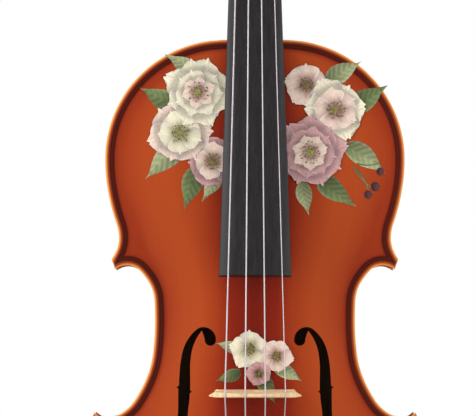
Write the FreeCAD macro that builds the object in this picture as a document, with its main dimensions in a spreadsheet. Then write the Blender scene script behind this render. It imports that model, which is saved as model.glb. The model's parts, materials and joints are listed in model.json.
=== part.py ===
import FreeCAD, Part
import math
import os
from types import SimpleNamespace

import Sketcher
from FreeCAD import Placement, Rotation, Vector

# A full-size violin hung by its neck. Every piece is built on the maker's bench frame: x to the treble side,
# y from the end button to the scroll, z up out of the belly, and zero where the belly meets the ribs. One
# placement then hangs the whole violin upright with its origin in the hanger, under the pegbox.

os.makedirs("parts", exist_ok=True)
doc = FreeCAD.newDocument("violin")
sheet = doc.addObject("Spreadsheet::Sheet", "sizes")

driving_sizes = [
    # sound box
    ("body_length", 356.0),
    ("upper_bout", 168.0),
    ("waist", 112.0),
    ("lower_bout", 208.0),
    ("rib_height", 31.0),
    ("rib_thick", 1.2),
    ("overhang", 2.7),
    ("plate_edge", 4.0),
    ("plate_thick", 3.0),
    ("belly_arch", 15.5),
    ("back_arch", 15.0),
    ("arch_margin", 6.0),
    ("foot_sink", 0.8),
    ("arch_tolerance", 0.1),
    ("lining_height", 7.0),
    ("lining_width", 2.0),
    ("corner_block_reach", 24.0),
    ("block_depth", 15.0),
    ("neck_block_width", 52.0),
    ("end_block_width", 44.0),
    ("bar_length", 270.0),
    ("bar_width", 5.5),
    ("bar_depth", 11.0),
    ("bar_place", 16.5),
    ("post_radius", 3.0),
    ("post_place", 20.0),
    ("post_behind_bridge", 5.0),
    ("button_reach", 13.0),
    ("cut_over", 5.0),
    # sound holes
    ("stop_length", 196.5),
    ("hole_length", 76.0),
    ("hole_place", 40.3),
    ("hole_upper_eye", 2.9),
    ("hole_lower_eye", 4.4),
    # neck, fingerboard and fittings that meet the box
    ("heel_top_width", 31.5),
    ("heel_foot_width", 21.0),
    ("heel_top_reach", 24.0),
    ("heel_foot_reach", 12.0),
    ("root_depth", 7.0),
    ("button_width", 22.0),
    ("saddle_width", 36.0),
    ("saddle_depth", 7.0),
    ("button_shank", 4.0),
    ("overstand", 5.7),
    ("neck_angle", 6.4),
    ("neck_length", 130.0),
    ("neck_depth", 12.5),
    ("neck_side", 2.0),
    ("board_length", 265.0),
    ("board_nut_width", 22.5),
    ("board_end_width", 40.3),
    ("board_edge", 5.0),
    ("board_radius", 42.0),
    ("nut_length", 6.0),
    ("nut_rise", 1.0),
    # head
    ("pegbox_length", 68.0),
    ("pegbox_width", 25.0),
    ("throat_width", 13.5),
    ("cheek_thick", 4.8),
    ("pegbox_floor", 6.0),
    ("head_drop", 9.0),
    ("scroll_centre_reach", 82.0),
    ("scroll_back_radius", 21.0),
    ("scroll_width", 41.0),
    ("scroll_core", 1.5),
    ("scroll_pin", 2.7),
    # pegs
    ("peg_thin", 3.3),
    ("peg_thick", 4.0),
    ("peg_proud", 1.0),
    ("peg_gap", 8.0),
    ("peg_collar", 5.2),
    ("peg_collar_length", 3.0),
    ("peg_waist", 3.0),
    ("peg_waist_length", 5.0),
    ("peg_head", 10.5),
    ("peg_head_thick", 3.8),
    ("peg_head_rim", 1.4),
    ("peg_pin", 1.6),
    ("turning_gap", 0.06),
    ("bore_gap", 0.15),
    ("standing_gap", 0.3),
    # bridge, tailpiece and strings
    ("bridge_height", 33.0),
    ("bridge_top_width", 43.0),
    ("bridge_width", 51.0),
    ("bridge_foot_thick", 4.6),
    ("bridge_top_thick", 1.6),
    ("bridge_radius", 42.0),
    ("bridge_foot_sink", 3.0),
    ("nut_spacing", 16.2),
    ("bridge_spacing", 33.4),
    ("after_length", 55.0),
    ("tail_length", 105.0),
    ("tail_angle", 8.0),
    ("tail_rise", 34.5),
    ("tail_top_width", 42.0),
    ("tail_end_width", 22.0),
    ("tail_thick", 3.5),
    ("tail_radius", 42.0),
    ("tail_ridge", 1.4),
    ("saddle_rise", 7.5),
    ("gut_radius", 1.1),
    ("gut_tuck", 10.0),
    ("knob_radius", 7.0),
    ("knob_length", 6.0),
    ("knob_standoff", 5.0),
    ("tuner_behind", 24.0),
    ("hook_behind", 9.0),
    ("pivot_behind", 14.0),
    ("tuner_knob", 3.2),
    ("tuner_knob_height", 5.0),
    ("tuner_shank", 1.2),
    ("lever_thick", 1.6),
    ("lever_width", 2.6),
    ("lever_drop", 3.2),
    ("hook_height", 3.0),
    ("string_g", 0.45),
    ("string_d", 0.45),
    ("string_a", 0.4),
    ("string_e", 0.3),
    ("winding_gap", 0.55),
    ("string_bend", 2.0),
    ("string_lead", 2.0),
]

# Shares of those sizes for the side views of the small turned and sawn pieces.
fitting_shares = [
    ("knob_flat_share", 0.5),
    ("knob_shoulder_share", 0.2),
    ("knob_neck_share", 0.85),
    ("saddle_crest_share", 0.6),
    ("saddle_front_share", 0.15),
    ("screw_rim_share", 0.8),
]

sheet_rows = driving_sizes + fitting_shares
for row_number, (alias, value) in enumerate(sheet_rows, start=1):
    cell = "B%d" % row_number
    sheet.set("A%d" % row_number, alias)
    sheet.set(cell, str(value))
    sheet.setAlias(cell, alias)
doc.recompute()
mm = SimpleNamespace(**{alias: float(sheet.get(alias)) for alias, value in sheet_rows})

parts = []


def keep_shape(name, shape):
    """Adds a solid whose form neither sketches nor primitives can give."""
    piece = doc.addObject("Part::Feature", name)
    piece.Shape = shape
    piece.Label = name
    parts.append(piece)
    return piece


def heading(degrees):
    return Vector(math.cos(math.radians(degrees)), math.sin(math.radians(degrees)), 0)


def arc_leaving(start, direction, end):
    """The arc that leaves start along direction and reaches end, or a line where it runs straight."""
    chord = end - start
    side = chord - direction * chord.dot(direction)
    if side.Length < chord.Length * 1e-6:
        return Part.LineSegment(start, end)
    side.normalize()
    radius = chord.dot(chord) / (2 * chord.dot(side))
    centre = start + side * radius
    middle = (start + end) * 0.5 - centre
    return Part.Arc(start, centre + middle.normalize() * radius, end)


def two_arcs(start, first, end, second):
    """Two arcs that meet tangent and follow the two directions, as a maker draws a bout with compasses."""
    gap = end - start
    both = first + second
    spread = 2 * (1 - first.dot(second))
    if spread < 1e-9:
        reach = gap.dot(gap) / (4 * gap.dot(second))
    else:
        reach = (math.sqrt(gap.dot(both) ** 2 + spread * gap.dot(gap)) - gap.dot(both)) / spread
    middle = (start + end + (first - second) * reach) * 0.5
    turned = arc_leaving(end, second * -1, middle)
    turned.reverse()
    return [arc_leaving(start, first, middle).toShape(), turned.toShape()]


def curve_through(stations):
    """Edges of a smooth run through stations, each a point and a heading in degrees."""
    edges = []
    for (here, here_turn), (there, there_turn) in zip(stations, stations[1:]):
        edges += two_arcs(here, heading(here_turn), there, heading(there_turn))
    return edges


def prism(face, low, high):
    """The solid over a flat face between two heights."""
    lifted = face.copy()
    lifted.translate(Vector(0, 0, low))
    return lifted.extrude(Vector(0, 0, high - low))


def block(x_low, x_high, y_low, y_high, z_low, z_high):
    return Part.makeBox(x_high - x_low, y_high - y_low, z_high - z_low, Vector(x_low, y_low, z_low))


def mirrored(shape):
    """The same shape on the other side of the centre joint."""
    return shape.mirror(Vector(0, 0, 0), Vector(1, 0, 0))


# Half outline of the plates, from the top centre to the bottom centre: the bout that a point belongs to, its
# distance from the centre joint as a share of that bout's half width, its height as a share of the body's
# length, and the heading of the edge there. The four corners fall between the three runs.
outline_shares = [
    [("upper_bout", 0.0, 1.0, 0), ("upper_bout", 0.248, 0.9983, -3.4), ("upper_bout", 1.0, 0.8104, -90),
     ("upper_bout", 0.925, 0.709, -109), ("upper_bout", 0.908, 0.6854, -90),
     ("upper_bout", 0.957, 0.6528, -54)],
    [("upper_bout", 0.933, 0.6365, 141), ("upper_bout", 0.852, 0.6433, 180), ("waist", 1.0625, 0.6166, 239),
     ("waist", 1.0, 0.5562, 270), ("waist", 1.105, 0.4581, 295), ("lower_bout", 0.724, 0.4096, 330),
     ("lower_bout", 0.808, 0.4034, 360), ("lower_bout", 0.865, 0.4118, 408)],
    [("lower_bout", 0.888, 0.3952, -126), ("lower_bout", 0.849, 0.3624, -90),
     ("lower_bout", 0.8865, 0.3247, -57.6), ("lower_bout", 1.0, 0.2107, -90),
     ("lower_bout", 0.497, 0.0191, -165), ("lower_bout", 0.0, 0.0, -180)],
]


def plate_outline():
    runs = []
    for run_shares in outline_shares:
        run = []
        for bout, across_share, along_share, turn in run_shares:
            half_width = getattr(mm, bout) / 2
            run.append((Vector(half_width * across_share, mm.body_length * along_share, 0), turn))
        runs.append(run)
    edges = []
    for run, next_run in zip(runs, runs[1:] + [None]):
        edges += curve_through(run)
        if next_run:
            edges.append(Part.LineSegment(run[-1][0], next_run[0][0]).toShape())
    right = Part.Wire(Part.__sortEdges__(edges))
    return Part.Wire(Part.__sortEdges__(right.Edges + mirrored(right).Edges)), runs


outline, outline_runs = plate_outline()
upper_corner = (outline_runs[0][-1][0] + outline_runs[1][0][0]) * 0.5
lower_corner = (outline_runs[1][-1][0] + outline_runs[2][0][0]) * 0.5


def inset(distance):
    """The flat face inside the outline, a set distance in from the plates' edge."""
    return Part.Face(outline.makeOffset2D(-distance, 2, False, False, True))


def ring(outer_inset, width):
    return inset(outer_inset).cut(inset(outer_inset + width)).Faces[0]


# Half width of the arch along the body, measured like the outline, less the flat margin at the edge.
arch_foot_shares = [
    ("upper_bout", 0.42, 1.03), ("upper_bout", 0.63, 0.955), ("upper_bout", 0.86, 0.899),
    ("upper_bout", 1.0, 0.8104), ("upper_bout", 0.85, 0.69), ("waist", 1.07, 0.625),
    ("waist", 1.0, 0.5562), ("waist", 1.14, 0.458), ("lower_bout", 0.70, 0.40),
    ("lower_bout", 0.90, 0.31), ("lower_bout", 1.0, 0.2107), ("lower_bout", 0.86, 0.098),
    ("lower_bout", 0.62, 0.034), ("lower_bout", 0.36, -0.03),
]


def arch_foot_curve():
    places = []
    for bout, across_share, along_share in arch_foot_shares:
        foot = getattr(mm, bout) / 2 * across_share - mm.arch_margin
        places.append(Vector(mm.body_length * along_share, foot, 0))
    curve = Part.BSplineCurve()
    curve.interpolate(places[::-1])
    return curve


arch_foot = arch_foot_curve()
across_shares = (0.0, 0.4, 0.8, 1.2, 1.7)
along_count = 11
scoop_share = 0.35
arch_fullness = 2.8


def foot_at(along):
    """Half width of the arch at a height along the body."""
    low = arch_foot.FirstParameter
    high = arch_foot.LastParameter
    for step in range(30):
        middle = (low + high) / 2
        if arch_foot.value(middle).x < along:
            low = middle
        else:
            high = middle
    return arch_foot.value(low).y


def long_arch(along):
    """Height of the arch on the centre joint, as a share of its full height."""
    return 1 - abs(2 * along / mm.body_length - 1) ** arch_fullness


def arch_surface(base, rise, foot_change):
    """A carved arch: a dome across the plate that flattens to its foot, under one long curve."""
    steps_across = [-share for share in across_shares[:0:-1]] + list(across_shares)
    span = mm.body_length + 2 * mm.cut_over
    rows = []
    for i in range(along_count):
        turn = math.pi * i / (along_count - 1)
        y = -mm.cut_over + span * (1 - math.cos(turn)) / 2
        foot = foot_at(y) + foot_change
        row = []
        for step in steps_across:
            dome = (1 - step ** 2) * (1 - scoop_share * min(step ** 2, 1.0))
            row.append(Vector(foot * step, y, base + rise * dome * long_arch(y)))
        rows.append(row)
    surface = Part.BSplineSurface()
    surface.approximate(Points=rows, DegMin=3, DegMax=5, Continuity=2, Tolerance=mm.arch_tolerance)
    return surface.toShape()


def under(surface_face, depth):
    return surface_face.extrude(Vector(0, 0, -depth))


def turned_over(shape):
    """A shape made like the belly, turned over to lie under the ribs as the back does."""
    return shape.mirror(Vector(0, 0, -mm.rib_height / 2), Vector(0, 0, 1))


hole_depth = mm.rib_height + mm.back_arch + mm.plate_edge + mm.cut_over


def carved_plate(arch_height):
    """A plate, and the hollow under its arch as a separate volume."""
    top_base = mm.plate_edge - mm.foot_sink
    top = under(arch_surface(top_base, arch_height - top_base, 0), hole_depth)
    hollow_rise = arch_height - mm.plate_thick + mm.foot_sink
    hollow = under(arch_surface(-mm.foot_sink, hollow_rise, -mm.plate_thick / 2), hole_depth)
    dome = top.common(prism(inset(mm.overhang), mm.plate_edge / 2, arch_height + mm.cut_over))
    return prism(Part.Face(outline), 0, mm.plate_edge).fuse(dome).cut(hollow), hollow


# Sound hole on the treble side, from the lower eye to the upper one, as shares of the hole's length measured
# from the middle of the stem, each with the heading of the edge there.
outer_edge_shares = [
    ((0.085, -0.455), 118), ((0.038, -0.2), 94), ((0.034, -0.01), 91), ((0.026, 0.0), None),
    ((0.028, 0.012), 91), ((0.004, 0.27), 103), ((-0.06, 0.40), 130), ((-0.15, 0.458), 180),
]
inner_edge_shares = [
    ((-0.135, 0.428), -62), ((-0.064, 0.27), -80), ((-0.053, 0.01), -89), ((-0.042, 0.0), None),
    ((-0.051, -0.012), -89), ((-0.036, -0.19), -86), ((0.02, -0.37), -65), ((0.13, -0.503), 0),
]
upper_eye_share = (-0.21, 0.36)
lower_eye_share = (0.19, -0.41)


def sound_hole():
    """The flat shape of the treble sound hole."""
    middle = Vector(mm.hole_place, mm.body_length - mm.stop_length, 0)

    def place(share):
        return middle + Vector(share[0], share[1], 0) * mm.hole_length

    def edge_run(stations):
        edges = []
        for (here, here_turn), (there, there_turn) in zip(stations, stations[1:]):
            if here_turn is None or there_turn is None:
                edges.append(Part.LineSegment(place(here), place(there)).toShape())
            else:
                edges += curve_through([(place(here), here_turn), (place(there), there_turn)])
        return edges

    upper_eye = place(upper_eye_share)
    lower_eye = place(lower_eye_share)
    upper_start = upper_eye - Vector(mm.hole_upper_eye, 0, 0)
    upper_end = upper_eye + heading(10) * mm.hole_upper_eye
    lower_start = lower_eye + Vector(mm.hole_lower_eye, 0, 0)
    lower_end = lower_eye + heading(190) * mm.hole_lower_eye
    edges = [Part.LineSegment(lower_end, place(outer_edge_shares[0][0])).toShape()]
    edges += edge_run(outer_edge_shares)
    edges += curve_through([(place(outer_edge_shares[-1][0]), 180), (upper_start, 270)])
    below = upper_eye + heading(-85) * mm.hole_upper_eye
    edges.append(Part.Arc(upper_start, below, upper_end).toShape())
    edges.append(Part.LineSegment(upper_end, place(inner_edge_shares[0][0])).toShape())
    edges += edge_run(inner_edge_shares)
    edges += curve_through([(place(inner_edge_shares[-1][0]), 0), (lower_start, 90)])
    above = lower_eye + heading(100) * mm.hole_lower_eye
    edges.append(Part.Arc(lower_start, above, lower_end).toShape())
    return Part.Face(Part.Wire(Part.__sortEdges__(edges)))


# The neck's own frame: its origin is on the glued face of the fingerboard over the edge of the body, y runs
# up the neck and z out of the fingerboard.
neck_place = Placement(Vector(0, mm.body_length, mm.plate_edge + mm.overstand),
                       Rotation(Vector(1, 0, 0), -mm.neck_angle))


def on_neck(shape):
    moved = shape.copy()
    moved.Placement = neck_place.multiply(moved.Placement)
    return moved


def stood_on_side(face):
    """Turns a flat face from the bench into the side view: its x runs up the neck and its y out of it."""
    side = face.copy()
    side.Placement = Placement(Vector(0, 0, 0), Rotation(Vector(1, 1, 1), 120)).multiply(side.Placement)
    return side


def slab_across(face, half_width):
    """The solid that a side view sweeps across the centre joint."""
    side = stood_on_side(face)
    side.translate(Vector(-half_width, 0, 0))
    return side.extrude(Vector(2 * half_width, 0, 0))


def polygon(points):
    points = [Vector(x, y, 0) for x, y in points]
    return Part.Face(Part.makePolygon(points + points[:1]))


def board_half_width(along):
    """Half width of the fingerboard at a height up the neck."""
    growth = (mm.board_end_width - mm.board_nut_width) / mm.board_length
    return (mm.board_nut_width + growth * (mm.neck_length - along)) / 2


def crown(half_width, radius):
    """How far an arc of the given radius rises over its own ends."""
    return radius - math.sqrt(radius ** 2 - half_width ** 2)


def round_section(half_width, low, side_height, rise, along):
    """A section across the neck: flat on one face, with short sides and an arc over them."""
    left = Vector(-half_width, along, low)
    right = Vector(half_width, along, low)
    lift = Vector(0, 0, side_height)
    top = Vector(0, along, low + side_height + rise)
    return Part.Wire([
        Part.makeLine(left, right), Part.makeLine(right, right + lift),
        Part.Arc(right + lift, top, left + lift).toShape(), Part.makeLine(left + lift, left),
    ])


heel_round_share = 0.8


def heel_section(low, width, reach):
    """A level section through the heel: square in the body and rounded towards the player's hand."""
    half = width / 2
    inside = mm.body_length - mm.root_depth
    front = mm.body_length + reach
    shoulder = front - heel_round_share * half
    corners = [Vector(-half, shoulder, low), Vector(-half, inside, low), Vector(half, inside, low),
               Vector(half, shoulder, low)]
    lines = [Part.makeLine(a, b) for a, b in zip(corners, corners[1:])]
    return Part.Wire(lines + [Part.Arc(corners[3], Vector(0, front, low), corners[0]).toShape()])


heel_low = -mm.rib_height
heel_high = mm.plate_edge + mm.overstand + mm.cut_over
heel_shares = [(0.0, 0.0, 0.0), (0.28, 0.16, 0.06), (0.55, 0.52, 0.3), (0.75, 0.9, 0.8), (1.0, 1.0, 1.0)]
heel = Part.makeLoft([
    heel_section(heel_low + (heel_high - heel_low) * up,
                 mm.heel_foot_width + (mm.heel_top_width - mm.heel_foot_width) * wide,
                 mm.heel_foot_reach + (mm.heel_top_reach - mm.heel_foot_reach) * out)
    for up, wide, out in heel_shares], True, True)
far = mm.lower_bout
over_board = on_neck(block(-far, far, -far, far, 0, far))
heel = heel.cut(over_board)

belly, belly_hollow = carved_plate(mm.belly_arch)
back, back_hollow = carved_plate(mm.back_arch)
back_hollow = turned_over(back_hollow)
hole = prism(sound_hole(), -mm.cut_over, mm.belly_arch + mm.cut_over)
saddle_seat = block(-mm.saddle_width / 2, mm.saddle_width / 2, -mm.cut_over, mm.saddle_depth,
                    -mm.cut_over, mm.belly_arch)
keep_shape("belly", belly.cut([hole, mirrored(hole), heel, saddle_seat]))


def back_button():
    """The round tab of the back that the neck's heel stands on."""
    half = mm.button_width / 2
    straight = block(-half, half, mm.body_length - mm.root_depth, mm.body_length + mm.button_reach - half,
                     0, mm.plate_edge)
    tip = Part.makeCylinder(half, mm.plate_edge, Vector(0, mm.body_length + mm.button_reach - half, 0))
    return straight.fuse(tip)


keep_shape("back", turned_over(back.fuse(back_button()).removeSplitter()))


# Ribs: one bent strip for each bout, cut from the same band and mitred where two meet in a corner.
rib_band = prism(ring(mm.overhang, mm.rib_thick), -mm.rib_height, 0)


def sector(corners):
    """A tall prism over a polygon, to take one bout's share of a band."""
    points = [Vector(x, y, 0) for x, y in corners]
    return prism(Part.Face(Part.makePolygon(points + points[:1])), -mm.rib_height - mm.cut_over, mm.cut_over)


# The mitres run through the corners, rising by a share of the way across.
upper_rise_share = 0.2
lower_rise_share = 0.1
pull = mm.corner_block_reach
upper_mitre = [(upper_corner.x + far, upper_corner.y + upper_rise_share * far),
               (upper_corner.x, upper_corner.y),
               (upper_corner.x - pull, upper_corner.y - upper_rise_share * pull)]
lower_mitre = [(lower_corner.x - pull, lower_corner.y - lower_rise_share * pull),
               (lower_corner.x, lower_corner.y),
               (lower_corner.x + far, lower_corner.y + lower_rise_share * far)]
bout_sectors = {
    "upper": sector([(0, upper_mitre[-1][1])] + upper_mitre[::-1]
                    + [(far, mm.body_length + mm.cut_over), (0, mm.body_length + mm.cut_over)]),
    "waist": sector(upper_mitre + [(0, upper_mitre[-1][1]), (0, lower_mitre[0][1])] + lower_mitre),
    "lower": sector([(0, lower_mitre[0][1])] + lower_mitre + [(far, -mm.cut_over), (0, -mm.cut_over)]),
}
end_pin_hole = Part.makeCylinder(mm.button_shank + mm.turning_gap, mm.block_depth,
                                 Vector(0, mm.overhang, -mm.rib_height / 2), Vector(0, 1, 0))
for bout, zone in bout_sectors.items():
    strip = rib_band.common(zone)
    keep_shape("rib_%s_treble" % bout, strip.cut([heel, end_pin_hole]))
    keep_shape("rib_%s_bass" % bout, mirrored(strip).cut([heel, end_pin_hole]))

# Blocks fill the corners and the two ends inside the ribs, and the linings run between them.
inner_face = inset(mm.overhang + mm.rib_thick)
inner_space = prism(inner_face, -mm.rib_height, 0)
upper_block = inner_space.common(block(-mm.neck_block_width / 2, mm.neck_block_width / 2,
                                       mm.body_length - mm.block_depth - mm.overhang, mm.body_length,
                                       -mm.rib_height, 0))
end_block = inner_space.common(block(-mm.end_block_width / 2, mm.end_block_width / 2, 0,
                                     mm.block_depth + mm.overhang, -mm.rib_height, 0))
corner_blocks = {}
for corner_name, corner in (("upper", upper_corner), ("lower", lower_corner)):
    reach = Part.makeCylinder(mm.corner_block_reach, mm.rib_height,
                              Vector(corner.x, corner.y, -mm.rib_height))
    corner_blocks[corner_name + "_treble"] = inner_space.common(reach)
    corner_blocks[corner_name + "_bass"] = mirrored(inner_space.common(reach))
keep_shape("neck_block", upper_block.cut(heel))
keep_shape("end_block", end_block.cut(end_pin_hole))
for corner_name, wood in corner_blocks.items():
    keep_shape("corner_block_" + corner_name, wood)
all_blocks = [upper_block, end_block] + list(corner_blocks.values())
lining_face = ring(mm.overhang + mm.rib_thick, mm.lining_width)
for side, low in (("belly", -mm.lining_height), ("back", -mm.rib_height)):
    keep_shape("linings_" + side, prism(lining_face, low, low + mm.lining_height).cut(all_blocks))


def bass_bar():
    """A spruce bar fitted to the inside of the belly, deepest under the bridge."""
    middle = mm.body_length / 2
    ends = mm.bar_length / 2
    height = mm.belly_arch + mm.cut_over
    low_middle = mm.belly_arch - mm.plate_thick - mm.bar_depth
    side_x = -mm.bar_place - mm.bar_width / 2
    start = Vector(side_x, middle - ends, 0)
    end = Vector(side_x, middle + ends, 0)
    edges = [
        Part.Arc(start, Vector(side_x, middle, low_middle), end).toShape(),
        Part.makeLine(end, end + Vector(0, 0, height)),
        Part.makeLine(end + Vector(0, 0, height), start + Vector(0, 0, height)),
        Part.makeLine(start + Vector(0, 0, height), start),
    ]
    side = Part.Face(Part.Wire(edges))
    return side.extrude(Vector(mm.bar_width, 0, 0)).common(belly_hollow)


keep_shape("bass_bar", bass_bar())
post = Part.makeCylinder(mm.post_radius, mm.rib_height + mm.belly_arch + mm.back_arch,
                         Vector(mm.post_place, mm.body_length - mm.stop_length - mm.post_behind_bridge,
                                -mm.rib_height - mm.back_arch))
keep_shape("sound_post", post.common(belly_hollow).common(back_hollow))


def neck_shaft():
    """The half-round handle under the fingerboard, as deep as the hand knows it."""
    sections = []
    for along in (0, mm.neck_length):
        half = board_half_width(along)
        sections.append(round_section(half, 0, -mm.neck_side, mm.neck_side - mm.neck_depth, along))
    return Part.makeLoft(sections, True, True)


# The throat and the end of the trough, as shares of the floor's thickness, and the cheeks at the scroll.
throat_share = 3.4
trough_end_share = 1.6
cheek_end_share = 0.75
front_turns = (-12, -4)
back_turns = (180, 168, 150)


def pegbox():
    """The open box for the pegs: a side view cut to a taper seen from the front, then hollowed."""
    start = mm.neck_length
    face = start + mm.nut_length
    centre = start + mm.scroll_centre_reach
    back = -mm.head_drop - mm.scroll_back_radius
    box_end = face + mm.pegbox_length
    floor = mm.pegbox_floor
    throat = throat_share * floor
    neck_back = mm.neck_side - mm.neck_depth
    front_edge = curve_through(list(zip([Vector(face, mm.nut_rise, 0), Vector(box_end, -mm.head_drop, 0)],
                                        front_turns)))
    back_edge = curve_through(list(zip([Vector(centre, back, 0), Vector(start + 2 * floor, -throat, 0),
                                        Vector(start - floor, neck_back, 0)], back_turns)))
    lines = [Part.makeLine(Vector(box_end, -mm.head_drop, 0), Vector(centre, -mm.head_drop, 0)),
             Part.makeLine(Vector(centre, -mm.head_drop, 0), Vector(centre, back, 0)),
             Part.makeLine(Vector(start - floor, neck_back, 0), Vector(start - floor, 0, 0)),
             Part.makeLine(Vector(start - floor, 0, 0), Vector(face, 0, 0)),
             Part.makeLine(Vector(face, 0, 0), Vector(face, mm.nut_rise, 0))]
    side = Part.Face(Part.Wire(Part.__sortEdges__(front_edge + back_edge + lines)))
    wide = mm.pegbox_width / 2
    narrow = mm.throat_width / 2
    half_neck = board_half_width(start)
    plan = polygon([(-half_neck, start - floor), (-half_neck, start), (-wide, face), (-narrow, centre),
                    (narrow, centre), (wide, face), (half_neck, start), (half_neck, start - floor)])
    box = slab_across(side, mm.pegbox_width).common(prism(plan, back - floor, mm.pegbox_width))
    cheek = mm.cheek_thick
    end_half = narrow - cheek_end_share * cheek
    trough_side = polygon([(face, mm.cut_over), (box_end - floor, mm.cut_over),
                           (box_end - floor, -mm.head_drop - floor),
                           (box_end - 2 * floor, back + trough_end_share * floor),
                           (face + 2 * floor, floor - throat), (face, -mm.neck_side)])
    trough_plan = polygon([(cheek - wide, face), (-end_half, centre),
                           (end_half, centre), (wide - cheek, face)])
    trough = slab_across(trough_side, mm.pegbox_width).common(prism(trough_plan, back, mm.pegbox_width))
    return box, trough


# The volute by quarter turns from the back of the head: radius as a share of the first, and half the width
# of the ridge as a share of the way from the throat's width to the full width at the eyes.
volute_shares = [(1.0, 0.0), (0.93, 0.0), (0.85, 0.02), (0.75, 0.06), (0.63, 0.2), (0.53, 0.36), (0.43, 0.52),
                 (0.35, 0.68), (0.29, 0.82), (0.24, 0.93), (0.214, 1.0)]
quarter_steps = 3


def volute_at(turns):
    """Radius and half width of the ridge after a number of quarter turns."""
    base = min(int(turns), len(volute_shares) - 2)
    blend = turns - base
    radius_share, width_share = [a + (b - a) * blend
                                 for a, b in zip(volute_shares[base], volute_shares[base + 1])]
    narrow = mm.throat_width / 2
    return mm.scroll_back_radius * radius_share, narrow + (mm.scroll_width / 2 - narrow) * width_share


def volute():
    """The scroll: wedges of a spiral whose ridge widens towards the eyes."""
    centre = Vector(0, mm.neck_length + mm.scroll_centre_reach, -mm.head_drop)
    eye_half = mm.scroll_width / 2
    solids = [Part.makeCylinder(mm.scroll_pin, 2 * eye_half, centre - Vector(eye_half, 0, 0),
                                Vector(1, 0, 0))]
    for quarter in range(len(volute_shares) - 1):
        sections = []
        for step in range(quarter_steps + 1):
            turns = quarter + step / quarter_steps
            radius, half = volute_at(turns)
            turn = math.pi / 2 * turns
            outward = Vector(0, math.sin(turn), -math.cos(turn))
            inner = centre + outward * mm.scroll_core
            outer = centre + outward * radius
            across = Vector(half, 0, 0)
            sections.append(Part.makePolygon([inner - across, outer - across, outer + across, inner + across,
                                              inner - across]))
        solids.append(Part.makeLoft(sections, True, True))
    return solids


box, trough = pegbox()
volute_solids = volute()
head = box.cut(trough).fuse(volute_solids).cut(trough)
neck = on_neck(neck_shaft()).fuse([heel, on_neck(head)])


def board_crest(along):
    """Height of the fingerboard's round top over its glued face."""
    return mm.board_edge + crown(board_half_width(along), mm.board_radius)


def board_piece(low, high, extra):
    """A length of the fingerboard's form: its plan cut out of a round bar that rises towards its end."""
    plan = polygon([(side * board_half_width(along), along)
                    for side, along in ((-1, low), (1, low), (1, high), (-1, high))])
    foot = mm.neck_length - mm.board_length
    start = Vector(0, foot, board_crest(foot) + extra - mm.board_radius)
    end = Vector(0, mm.neck_length, board_crest(mm.neck_length) + extra - mm.board_radius)
    run = (end - start).normalize()
    bar = Part.makeCylinder(mm.board_radius, 2 * mm.board_length, start - run * mm.cut_over, run)
    return prism(plan, 0, mm.board_radius).common(bar)


keep_shape("fingerboard", on_neck(board_piece(mm.neck_length - mm.board_length, mm.neck_length, 0)))
nut_end = mm.neck_length + mm.nut_length
nut = on_neck(board_piece(mm.neck_length, nut_end, mm.nut_rise))

# Pegs cross the box from its two sides: the string, the side of the head, and its place along the box as a
# share of the box's length and of the head's depth.
strings = {
    "g": {"head": -1, "along_share": 0.20, "deep_share": 0.283, "across_share": -0.5, "start_share": 0.15},
    "d": {"head": -1, "along_share": 0.60, "deep_share": 0.43, "across_share": -1 / 6, "start_share": -0.15},
    "a": {"head": 1, "along_share": 0.79, "deep_share": 0.5, "across_share": 1 / 6, "start_share": -0.3},
    "e": {"head": 1, "along_share": 0.41, "deep_share": 0.385, "across_share": 0.5, "start_share": 0.25},
}


def pegbox_half_width(along):
    start = mm.neck_length + mm.nut_length
    end = mm.neck_length + mm.scroll_centre_reach
    share = (along - start) / (end - start)
    return (mm.pegbox_width + (mm.throat_width - mm.pegbox_width) * share) / 2


def peg_centre(string):
    along = nut_end + mm.pegbox_length * string["along_share"]
    depth = (mm.head_drop + mm.scroll_back_radius) * string["deep_share"]
    return Vector(0, along, -depth)


def peg_radius(height, half_box):
    """The taper of a peg's shaft, measured from the middle of the box."""
    collar = half_box + mm.peg_gap
    tail = -half_box - mm.peg_proud
    return mm.peg_thin + (mm.peg_thick - mm.peg_thin) * (height - tail) / (collar - tail)


def bound(kind, name, **formulas):
    """A primitive whose sizes follow the sheet."""
    primitive = doc.addObject(kind, name)
    for place, formula in formulas.items():
        primitive.setExpression(place.replace("_at_", "Placement.Base."), formula)
    return primitive


def thumb_pieces(letter, middle):
    """The flat round head that the fingers turn: a disc with two sloping faces."""
    disc = bound("Part::Cylinder", "disc_" + letter, Radius="sizes.peg_head", Height="2 * sizes.peg_head_rim",
                 _at_y="sizes.peg_head_rim", _at_z=middle)
    disc.Placement.Rotation = Rotation(Vector(1, 0, 0), 90)
    faces = []
    for name, sign, turn in (("front_face_", "", -90), ("rear_face_", "-", 90)):
        face = bound("Part::Cone", name + letter, Radius1="sizes.peg_head", Radius2="sizes.peg_head / 2",
                     Height="sizes.peg_head_thick - sizes.peg_head_rim", _at_y=sign + "sizes.peg_head_rim",
                     _at_z=middle)
        face.Placement.Rotation = Rotation(Vector(1, 0, 0), turn)
        faces.append(face)
    return [disc] + faces


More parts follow.
